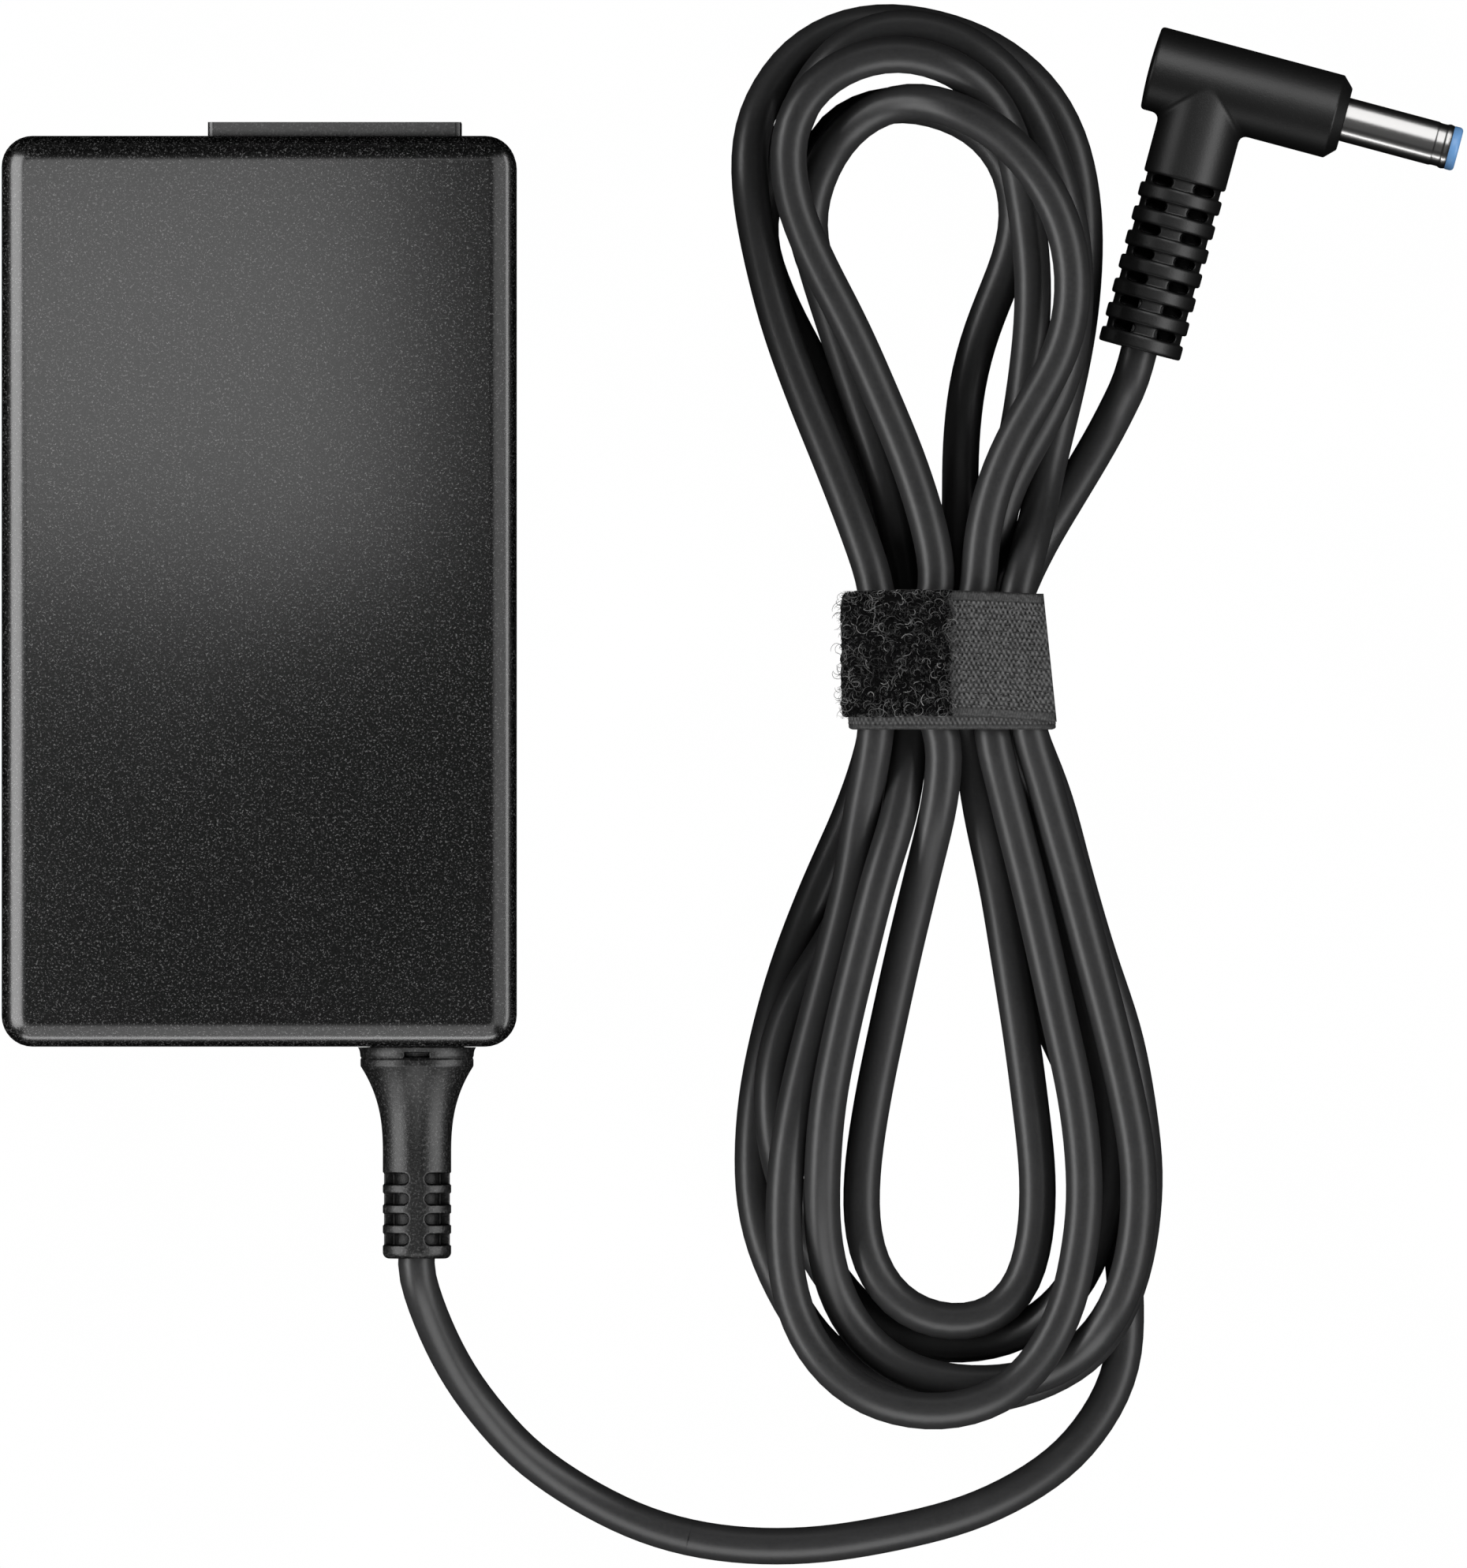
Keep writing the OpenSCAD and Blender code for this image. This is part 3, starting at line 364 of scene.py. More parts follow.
M["chip_white"] = mat_simple("chip_white", (0.74, 0.74, 0.70), 0.5, grain=900, vary=0.06)
M["wire_red"] = mat_simple("wire_red", (0.45, 0.02, 0.02), 0.35, grain=900, vary=0.15)
M["wire_black"] = mat_simple("wire_black", (0.015, 0.015, 0.015), 0.35, grain=900, vary=0.3)
M["wire_white"] = mat_simple("wire_white", (0.75, 0.75, 0.73), 0.35, grain=900, vary=0.06)
M["relief_rubber"] = None
M["plug_rubber"] = None
M["cable_jacket"] = mat_simple("cable_jacket", (0.029, 0.029, 0.0295), 0.39, grain=3200, vary=0.15, bump_mm=0.004, rvar=0.04)
M["mould_natural"] = mat_simple("mould_natural", (0.70, 0.70, 0.64), 0.5, grain=900, vary=0.08)
M["tip_blue"] = mat_simple("tip_blue", (0.155, 0.34, 0.65), 0.40, grain=2600, vary=0.06, bump_mm=0.003)
M["spring_brass"] = mat_simple("spring_brass", (0.70, 0.52, 0.24), 0.3, metal=1.0, grain=2600, vary=0.1)
M["strap_weave"] = None
M["strap_fleece"] = mat_simple("strap_fleece", (0.0025, 0.0025, 0.0026), 0.9, grain=2600, vary=0.6, bump_mm=0.05, spec=0.06)
M["hair"] = None
M["groove"] = mat_simple("groove", (0.006, 0.006, 0.006), 0.7, grain=1500, vary=0.3)


def woven_material(name, dark, light):
    """woven tape: colour from the stored weave value, painted shade in the holes and painted highlight on the knots,
    broken up by fine yarn grain
    """
    m, nt, p = new_mat(name)
    at = nt.nodes.new("ShaderNodeAttribute")
    at.attribute_name = "tone"
    n1 = noise(nt, coords(nt, 1.0), 5200.0, 3.0, 0.7)
    add = nt.nodes.new("ShaderNodeMath"); add.operation = "MULTIPLY_ADD"
    nt.links.new(n1, add.inputs[0]); add.inputs[1].default_value = 0.8
    nt.links.new(at.outputs["Fac"], add.inputs[2])
    f = maprange(nt, add.outputs[0], 0.45, 1.45, 0.0, 1.0)
    # painted shade: near-black in the holes of the weave; painted highlight: lighter grey on the knots
    nt.links.new(ramp(nt, f, [(0.0, (dark,) * 3), (0.45, ((dark * 2 + light * 0.3),) * 3), (1.0, (light,) * 3)]), p.inputs["Base Color"])
    nt.links.new(maprange(nt, n1, 0.3, 0.7, 0.55, 0.8), p.inputs["Roughness"])
    bump(nt, p, add.outputs[0], 0.05 * MM)
    return m


def hair_material(name):
    """fibres of uneven shade, each with its own stored tone"""
    m, nt, p = new_mat(name)
    at = nt.nodes.new("ShaderNodeAttribute")
    at.attribute_name = "tone"
    n1 = noise(nt, coords(nt, 1.0), 1500.0, 2.0, 0.6)
    add = nt.nodes.new("ShaderNodeMath"); add.operation = "MULTIPLY_ADD"
    nt.links.new(n1, add.inputs[0]); add.inputs[1].default_value = 0.5
    nt.links.new(at.outputs["Fac"], add.inputs[2])
    f = maprange(nt, add.outputs[0], 0.25, 1.25, 0.0, 1.0)
    nt.links.new(ramp(nt, f, [(0.0, (0.004,) * 3), (0.4, (0.02,) * 3), (0.75, (0.11,) * 3), (1.0, (0.30,) * 3)]), p.inputs["Base Color"])
    nt.links.new(maprange(nt, n1, 0.3, 0.7, 0.4, 0.6), p.inputs["Roughness"])
    return m


M["strap_hook"] = woven_material("strap_hook", 0.002, 0.17)
M["strap_weave"] = woven_material("strap_weave", 0.002, 0.14)
M["hair"] = hair_material("hair")


def cavity(nt, reach, lo, hi):
    """mask for painted shade, from ambient occlusion: 0 deep in a slot, 1 on an open face"""
    ao = nt.nodes.new("ShaderNodeAmbientOcclusion")
    ao.samples = 6
    ao.inputs["Distance"].default_value = reach * MM
    return maprange(nt, ao.outputs["AO"], lo, hi, 0.0, 1.0)


def paint_slot_shade(nt, p, fac):
    """painted shade: scale colour and shine down by a factor"""
    for name in ("Base Color", "Specular IOR Level"):
        mul = nt.nodes.new("ShaderNodeMix" if name == "Base Color" else "ShaderNodeMath")
        if name == "Base Color":
            mul.data_type = "RGBA"
            nt.links.new(fac, mul.inputs[0])
            mul.inputs[6].default_value = (0.0004, 0.0004, 0.0004, 1)
            nt.links.new(p.inputs[name].links[0].from_socket, mul.inputs[7])
            nt.links.new(mul.outputs[2], p.inputs[name])
        else:
            mul.operation = "MULTIPLY"
            mul.inputs[1].default_value = p.inputs[name].default_value
            nt.links.new(fac, mul.inputs[0])
            nt.links.new(mul.outputs[0], p.inputs[name])


def grain_and_glint_material(name, dark, light, rough, relief, strength, scale=4300.0, slot_shade=None, steep=None, mid=0.24, wander=0.02):
    """matt moulded plastic with a fine spark-eroded grain in its relief; the bright flecks in its colour are painted
    glints of that grain
    """
    m, nt, p = new_mat(name)
    v = coords(nt, 1.0)
    n1 = noise(nt, v, scale, 2.0, 0.6)
    n3 = noise(nt, v, scale * 2.1, 1.0, 0.5)
    n2 = noise(nt, v, 60.0, 2.0, 0.5)
    add = nt.nodes.new("ShaderNodeMath"); add.operation = "MULTIPLY_ADD"
    nt.links.new(n3, add.inputs[0]); add.inputs[1].default_value = 0.6
    nt.links.new(n1, add.inputs[2])
    f = maprange(nt, add.outputs[0], 0.62, 1.08, 0.0, 1.0)
    # colour runs from a near-black base to bright flecks: painted glints where the grain would catch the light
    col = ramp(nt, f, [(0.0, (dark,) * 3), (0.38, (dark * 0.8 + light * 0.01,) * 3), (0.60, (light * mid,) * 3), (1.0, (light,) * 3)])
    nt.links.new(col, p.inputs["Base Color"])
    nt.links.new(maprange(nt, n2, 0.3, 0.7, rough - wander, rough + wander), p.inputs["Roughness"])
    p.inputs["Specular IOR Level"].default_value = 0.5
    bump(nt, p, add.outputs[0], relief * MM, strength)
    # painted shade in slots and pockets: colour and shine darkened where occlusion is high
    if slot_shade:
        paint_slot_shade(nt, p, cavity(nt, *slot_shade))
    if steep is not None:
        # the matt texture shadows itself at a slant, so the shine dies away there
        lw = nt.nodes.new("ShaderNodeLayerWeight")
        lw.inputs["Blend"].default_value = 0.5
        mul = nt.nodes.new("ShaderNodeMath"); mul.operation = "MULTIPLY"
        nt.links.new(maprange(nt, lw.outputs["Facing"], 0.32, 0.60, 1.0, steep), mul.inputs[0])
        mul.inputs[1].default_value = 0.5
        nt.links.new(mul.outputs[0], p.inputs["Specular IOR Level"])
    return m


# all four: painted glints in the bright colour flecks; relief, plug and inlet also get painted shade in their slots
# and pockets
M["relief_rubber"] = grain_and_glint_material("relief_rubber", 0.001, 0.070, 0.37, 0.018, 1.0, 3900.0, (1.6, 0.40, 0.70))
M["plug_rubber"] = grain_and_glint_material("plug_rubber", 0.004, 0.010, 0.46, 0.010, 1.0, 4600.0, (1.3, 0.34, 0.66))
M["case_plastic"] = grain_and_glint_material("case_plastic", 0.0002, 0.070, 0.262, 0.004, 1.0, 4500.0, None, 0.03, 0.07, 0.006)
M["inlet_plastic"] = grain_and_glint_material("inlet_plastic", 0.0006, 0.040, 0.34, 0.010, 1.0, 3800.0, (1.2, 0.40, 0.75))

# carried-over nodes take the material of their slot
slots = {s["node"]: s["material_slot"] for s in frame["record"]["subparts"]}
for n, o in nodes.items():
    s = slots[n]
    mt = M.get(s) or M["chip_black"]
    if o.data.materials:
        for i in range(len(o.data.materials)):
            o.data.materials[i] = mt
    else:
        o.data.materials.append(mt)

# --------------------------------------------------------------------- case
b_lo, b_hi = mmbox("case_bottom")
t_lo, t_hi = mmbox("case_top")
HW, HL, HH = t_hi[0], t_hi[1], t_hi[2]
SEAM_LO = t_lo[2] - 0.2
SEAM_HI = t_lo[2]
RE, RC = 2.8, 3.1


def rrect(a, b, r, z, n=8):
    r = max(r, 0.05)
    P = []
    for cx, cy, a0 in ((a - r, b - r, 0), (-a + r, b - r, 90), (-a + r, -b + r, 180), (a - r, -b + r, 270)):
        for k in range(n + 1):
            t = math.radians(a0 + 90.0 * k / n)
            P.append((cx + r * math.cos(t), cy + r * math.sin(t), z))
    return P


def case_half(name, up, mat):
    # up = +1 for the upper half, -1 for the lower half; z measured as a signed offset from the seam plane
    zs = SEAM_HI if up > 0 else SEAM_LO
    z_out = HH if up > 0 else 0.0
    z_in = HH - 2.0 if up > 0 else 2.0
    loops = []
    def L(inset, z, rc=None):
        loops.append(rrect(HW - inset, HL - inset, (RC - inset) if rc is None else rc, z))
    # inner cavity, from its floor to the seam
    L(2.0, z_in, 1.2)
    L(2.0, zs, 1.2)
    L(0.16, zs)
    L(0.05, zs + up * 0.05)
    L(0.0, zs + up * 0.18)
    END = 83.0      # the fillet meets the flat face with a faint crease
    for k in range(1, 9):
        f = math.radians(END * k / 8)
        L(RE * (1 - math.cos(f)), z_out - up * RE * (1 - math.sin(f) / math.sin(math.radians(END))))
    # straight wall start of the fillet
    i = 5
    loops.insert(i, rrect(HW, HL, RC, z_out - up * RE))
    V = [p for l in loops for p in l]
    m = len(loops[0])
    F = []
    for j in range(len(loops) - 1):
        for k in range(m):
            k2 = (k + 1) % m
            q = (j * m + k, j * m + k2, (j + 1) * m + k2, (j + 1) * m + k)
            F.append(q if up > 0 else q[::-1])
    cap_in = tuple(range(m)); cap_out = tuple((len(loops) - 1) * m + k for k in range(m))
    F.append(cap_in[::-1] if up > 0 else cap_in)
    F.append(cap_out if up > 0 else cap_out[::-1])
    ob = mesh_obj(name, V, F, mat)
    return ob


def box_cutter(x0, x1, y0, y1, z0, z1, r=0.0):
    P = rrect((x1 - x0) / 2, (y1 - y0) / 2, max(r, 0.01), 0.0, 4)
    c = np.array([(x0 + x1) / 2, (y0 + y1) / 2, 0])
    lo = [tuple(np.array(p) + c + [0, 0, z0]) for p in P]
    hi = [tuple(np.array(p) + c + [0, 0, z1]) for p in P]
    m = len(P)
    F = [tuple(range(m))[::-1], tuple(range(m, 2 * m))] + [(k, (k + 1) % m, m + (k + 1) % m, m + k) for k in range(m)]
    return mesh_obj("cutter", lo + hi, F)


def y_cutter(xc, zc, y0, y1, hx, hz, r):
    P = [(p[0] + xc, p[1] + zc) for p in rrect(hx, hz, r, 0.0, 8)]
    m = len(P)
    V = [(x, y0, z) for x, z in P] + [(x, y1, z) for x, z in P]
    F = [tuple(range(m)), tuple(range(m, 2 * m))[::-1]] + [(k, m + k, m + (k + 1) % m, (k + 1) % m) for k in range(m)]
    return mesh_obj("cutter", V, F)


in_lo, in_hi = mmbox("inlet_housing")
INX = (in_lo[0] + in_hi[0]) / 2
INZ = (in_lo[2] + in_hi[2]) / 2
sr_lo, sr_hi = mmbox("strain_relief")
PA = pivot("outlet_swing")
OX, OZ = PA[0], PA[2]

for name, up in (("case_upper_shell", 1), ("case_lower_shell", -1)):
    ob = case_half(name, up, M["case_plastic"])
    boolean(ob, y_cutter(INX, INZ, HL - 3.5, HL + 1, 12.9, 9.65, 0.75))
    boolean(ob, y_cutter(OX, OZ, -HL - 1, -HL + 3, 4.35, 4.35, 4.34))
    if up < 0:
        rp_lo, rp_hi = mmbox("rating_plate")
        boolean(ob, box_cutter(rp_lo[0] - 0.12, rp_hi[0] + 0.12, rp_lo[1] - 0.12, rp_hi[1] + 0.12, -1, 0.35, 1.0))
    finish_mesh(ob, 28)
    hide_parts("case_top" if up > 0 else "case_bottom")
    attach(ob, "brick")

# tongue that closes the seam from inside
ring = [rrect(HW - 1.0, HL - 1.0, RC - 1.0, SEAM_LO - 0.8), rrect(HW - 0.9, HL - 0.9, RC - 0.9, SEAM_LO - 0.5),
        rrect(HW - 0.55, HL - 0.55, RC - 0.55, SEAM_LO - 0.45), rrect(HW - 0.55, HL - 0.55, RC - 0.55, SEAM_HI + 0.45),
        rrect(HW - 0.9, HL - 0.9, RC - 0.9, SEAM_HI + 0.5), rrect(HW - 1.9, HL - 1.9, 1.25, SEAM_HI + 0.9),
        rrect(HW - 1.9, HL - 1.9, 1.25, SEAM_LO - 0.8)]
m = len(ring[0])
F = [(j * m + k, j * m + (k + 1) % m, ((j + 1) % 7) * m + (k + 1) % m, ((j + 1) % 7) * m + k) for j in range(7) for k in range(m)]
tongue = mesh_obj("case_tongue", [p for l in ring for p in l], F, M["groove"], sharp=30)
boolean(tongue, y_cutter(INX, INZ, HL - 3.5, HL + 1, 12.9, 9.65, 0.75))
boolean(tongue, y_cutter(OX, OZ, -HL - 1, -HL + 3, 4.35, 4.35, 4.34))
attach(tongue, "brick")

# blank plate on the underside, rounded corners
rp_lo, rp_hi = mmbox("rating_plate")
plate = []
for z, ins in ((rp_hi[2], 0.0), (rp_lo[2] + 0.06, 0.0), (rp_lo[2], 0.06)):
    plate.append([(x + (rp_lo[0] + rp_hi[0]) / 2, y + (rp_lo[1] + rp_hi[1]) / 2, z) for x, y, z in rrect((rp_hi[0] - rp_lo[0]) / 2 - ins, (rp_hi[1] - rp_lo[1]) / 2 - ins, 0.9, z)])
m = len(plate[0])
F = [tuple(range(m))] + [(j * m + (k + 1) % m, j * m + k, (j + 1) * m + k, (j + 1) * m + (k + 1) % m) for j in range(2) for k in range(m)] + [tuple(range(2 * m, 3 * m))[::-1]]
pl = mesh_obj("blank_plate", [p for l in plate for p in l], F, M["plate_film"], sharp=30)
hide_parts("rating_plate"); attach(pl, "brick")

# inlet keeps its CAD solid, with softened edges
for n in ("inlet_housing",):
    wd = nodes[n].modifiers.new("weld", "WELD")
    wd.merge_threshold = 1e-6
    bv = nodes[n].modifiers.new("soft", "BEVEL")
    bv.width = 0.5 * MM; bv.segments = 3; bv.limit_method = "ANGLE"; bv.angle_limit = math.radians(50)

# ------------------------------------------------------------- strain relief
RL = -HL - sr_lo[1]          # length outside the case


def relief_R(a):
    R = np.where(a < 2.0, 5.70 + 0.36 * np.exp(-np.maximum(a, 0) / 0.34), 3.45 + 2.25 * np.clip((11.0 - a) / 9.0, 0, 1) ** 2.6)
    R = R - 0.11 * np.exp(-((a - 1.17) / 0.085) ** 2)            # parting line
    e = 0.65
    end = np.clip(a - (RL - e), 0, e)
    R = np.where(a > RL - e, 3.45 - e + np.sqrt(np.maximum(e ** 2 - end ** 2, 0.0)), R)
    return R


def relief_f(p):
    x = p[:, 0] - OX; z = p[:, 2] - OZ; a = -HL - p[:, 1]
    r = np.hypot(x, z)
    R = relief_R(a)
    f = (r - R) * 0.9
    f = np.maximum(f, a - RL)
    f = np.maximum(f, -1.6 - a)
    f = np.where(a < -0.02, np.maximum(f, r - 4.25), f)
    for i in range(4):
        ac = 13.355 + 2.04 * i
        da = np.abs(a - ac)
        q = np.abs(x) - (0.78 + 0.59)
        s = np.where(q < 0, np.hypot(q, da) - 0.59, da - 0.59)
        depth = np.minimum(np.maximum(2.35 - r, 0.5 - np.abs(z)), 3.32 - r)
        f = smax(f, -np.maximum(s, depth), 0.10)
    notch = np.maximum(np.maximum(np.abs(x) - 1.3, np.abs(a - 0.83) - 0.24), np.maximum(5.35 - r, 0.0 - np.abs(z) + 4.0))
    f = smax(f, -notch, 0.06)
    f = smax(f, -(r - 1.93), 0.1)
    return f


V, Q = surface_nets(relief_f, (OX - 6.4, -HL - RL - 0.4, OZ - 6.4), (OX + 6.4, -HL + 1.9, OZ + 6.4), 0.12)
rel = mesh_obj("strain_relief_mould", V, Q, M["relief_rubber"])
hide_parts("strain_relief"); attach(rel, "brick")

# ---------------------------------------------------------------------- plug
PD = pivot("plug_lift")
ang = math.radians(-15.0)
AX = np.array([math.cos(ang), math.sin(ang), 0.0])      # along the barrel
AY = np.array([-math.sin(ang), math.cos(ang), 0.0])     # up the stem
AZ = np.array([0.0, 0.0, 1.0])
PO = PD + AY * 29.85                                    # where head and stem cross


def to_local(p):
    d = p - PO
    return np.stack([d @ AX, d @ AY, d @ AZ], 1)


def to_world(q):
    q = np.asarray(q, float)
    return PO + q[:, :1] * AX + q[:, 1:2] * AY + q[:, 2:3] * AZ


RIB0, PITCH, BEND = -10.27, 2.52, -27.9


def plug_f(q):
    x, y, z = q[:, 0], q[:, 1], q[:, 2]
    rh = np.hypot(y, z)
    # head: slightly domed rear end, chamfered front
    head = rh - 4.3
    head = smax(head, -6.42 - x + 0.012 * rh ** 2, 0.42)
    head = np.maximum(head, (rh - 4.3 + x - 14.0 + 1.1) / math.sqrt(2))
    head = np.maximum(head, x - 14.0)
    rs = np.hypot(x, z)
    stem = rs - 4.25
    stem = np.maximum(stem, y)
    stem = np.maximum(stem, RIB0 - y)
    stem_r = smax(rs - 4.25, RIB0 - y, 0.35)
    stem = np.maximum(stem_r, y)
    k = 0.06 + 0.80 * np.clip(1.0 - (np.abs(z) / 4.1) ** 2, 0, 1)
    f = smin(head, stem, k)
    core = np.maximum(np.maximum(rs - 3.85, y - RIB0 - 1.0), BEND - y)
    f = np.minimum(f, core)
    for i in range(7):
        yc = RIB0 - 1.02 - 0.75 - PITCH * i
        ring = smax(rs - 4.25, np.abs(y - yc) - 0.75, 0.3)
        f = np.minimum(f, ring)
    for i in range(7):
        yc = RIB0 - 0.51 - PITCH * i
        dy = np.abs(y - yc)
        dx = np.abs(np.abs(x) - 2.12) - 1.08 + 0.5
        s = np.hypot(np.maximum(dx, 0), dy) - 0.5
        pocket = np.maximum(s, 1.35 - np.abs(z))
        f = smax(f, -pocket, 0.12)
    f = smax(f, -(np.maximum(rs - 1.93, y + 26.0)), 0.12)
    f = np.maximum(f, -np.maximum(rh - 2.35, 12.9 - x))
    return f


V, Q = surface_nets(plug_f, (-6.9, BEND - 0.5, -4.7), (14.4, 4.8, 4.7), 0.13)
plug = mesh_obj("plug_mould", to_world(V), Q, M["plug_rubber"])
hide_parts("plug_overmould"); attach(plug, "plug")


def px(d):
    return PO + AX * d


def barrel_part(name, prof, mat, node, sharp=30, sides=72):
    V, F = lathe(prof, sides, PO, AX)
    o = mesh_obj(name, V, F, mat, sharp=sharp)
    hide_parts(node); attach(o, "plug")
    return o


barrel_part("barrel_shell", [(8.3, 1.95), (8.3, 3.2), (10.1, 3.2), (10.1, 2.25), (13.9, 2.25), (23.30, 2.25), (23.36, 2.245), (23.44, 2.21), (23.55, 2.185),
            (23.72, 2.175), (24.05, 2.175), (24.22, 2.185), (24.30, 2.21), (24.38, 2.25), (24.52, 2.285), (24.68, 2.285), (24.78, 2.25), (24.90, 2.24), (25.0, 2.18), (25.0, 1.95), (8.3, 1.95)], M["nickel"], "barrel_sleeve", sharp=40)
barrel_part("barrel_tip", [(24.98, 1.55), (24.98, 2.2), (25.06, 2.24), (25.55, 2.24), (25.72, 2.19), (25.84, 2.08), (25.9, 1.93), (25.9, 1.68), (25.8, 1.55), (24.98, 1.55)], M["tip_blue"], "barrel_tip_ring")
barrel_part("barrel_liner", [(10.3, 1.76), (10.3, 1.93), (24.95, 1.93), (24.95, 1.76), (10.3, 1.76)], M["inlet_plastic"], "barrel_insulator")
barrel_part("barrel_spring", [(10.5, 1.54), (10.5, 1.72), (24.85, 1.72), (24.9, 1.66), (24.9, 1.58), (24.85, 1.54), (10.5, 1.54)], M["spring_brass"], "inner_contact")
barrel_part("barrel_floor", [(13.0, 0.0), (13.0, 1.7), (13.6, 1.7), (13.6, 0.0)], M["inlet_plastic"], "plug_inner_mould")
barrel_part("barrel_pin", [(0.4, 0.0), (0.4, 0.3), (23.6, 0.32), (23.9, 0.27), (24.1, 0.16), (24.16, 0.0)], M["nickel"], "centre_pin", sides=24)

# --------------------------------------------------------------------- cable
GRID = 12.58


def gp(t):
    t = np.array(t, float).reshape(-1, 3)
    return np.stack([(t[:, 0] - 329) / GRID, (750 - t[:, 1]) / GRID, t[:, 2]], 1)


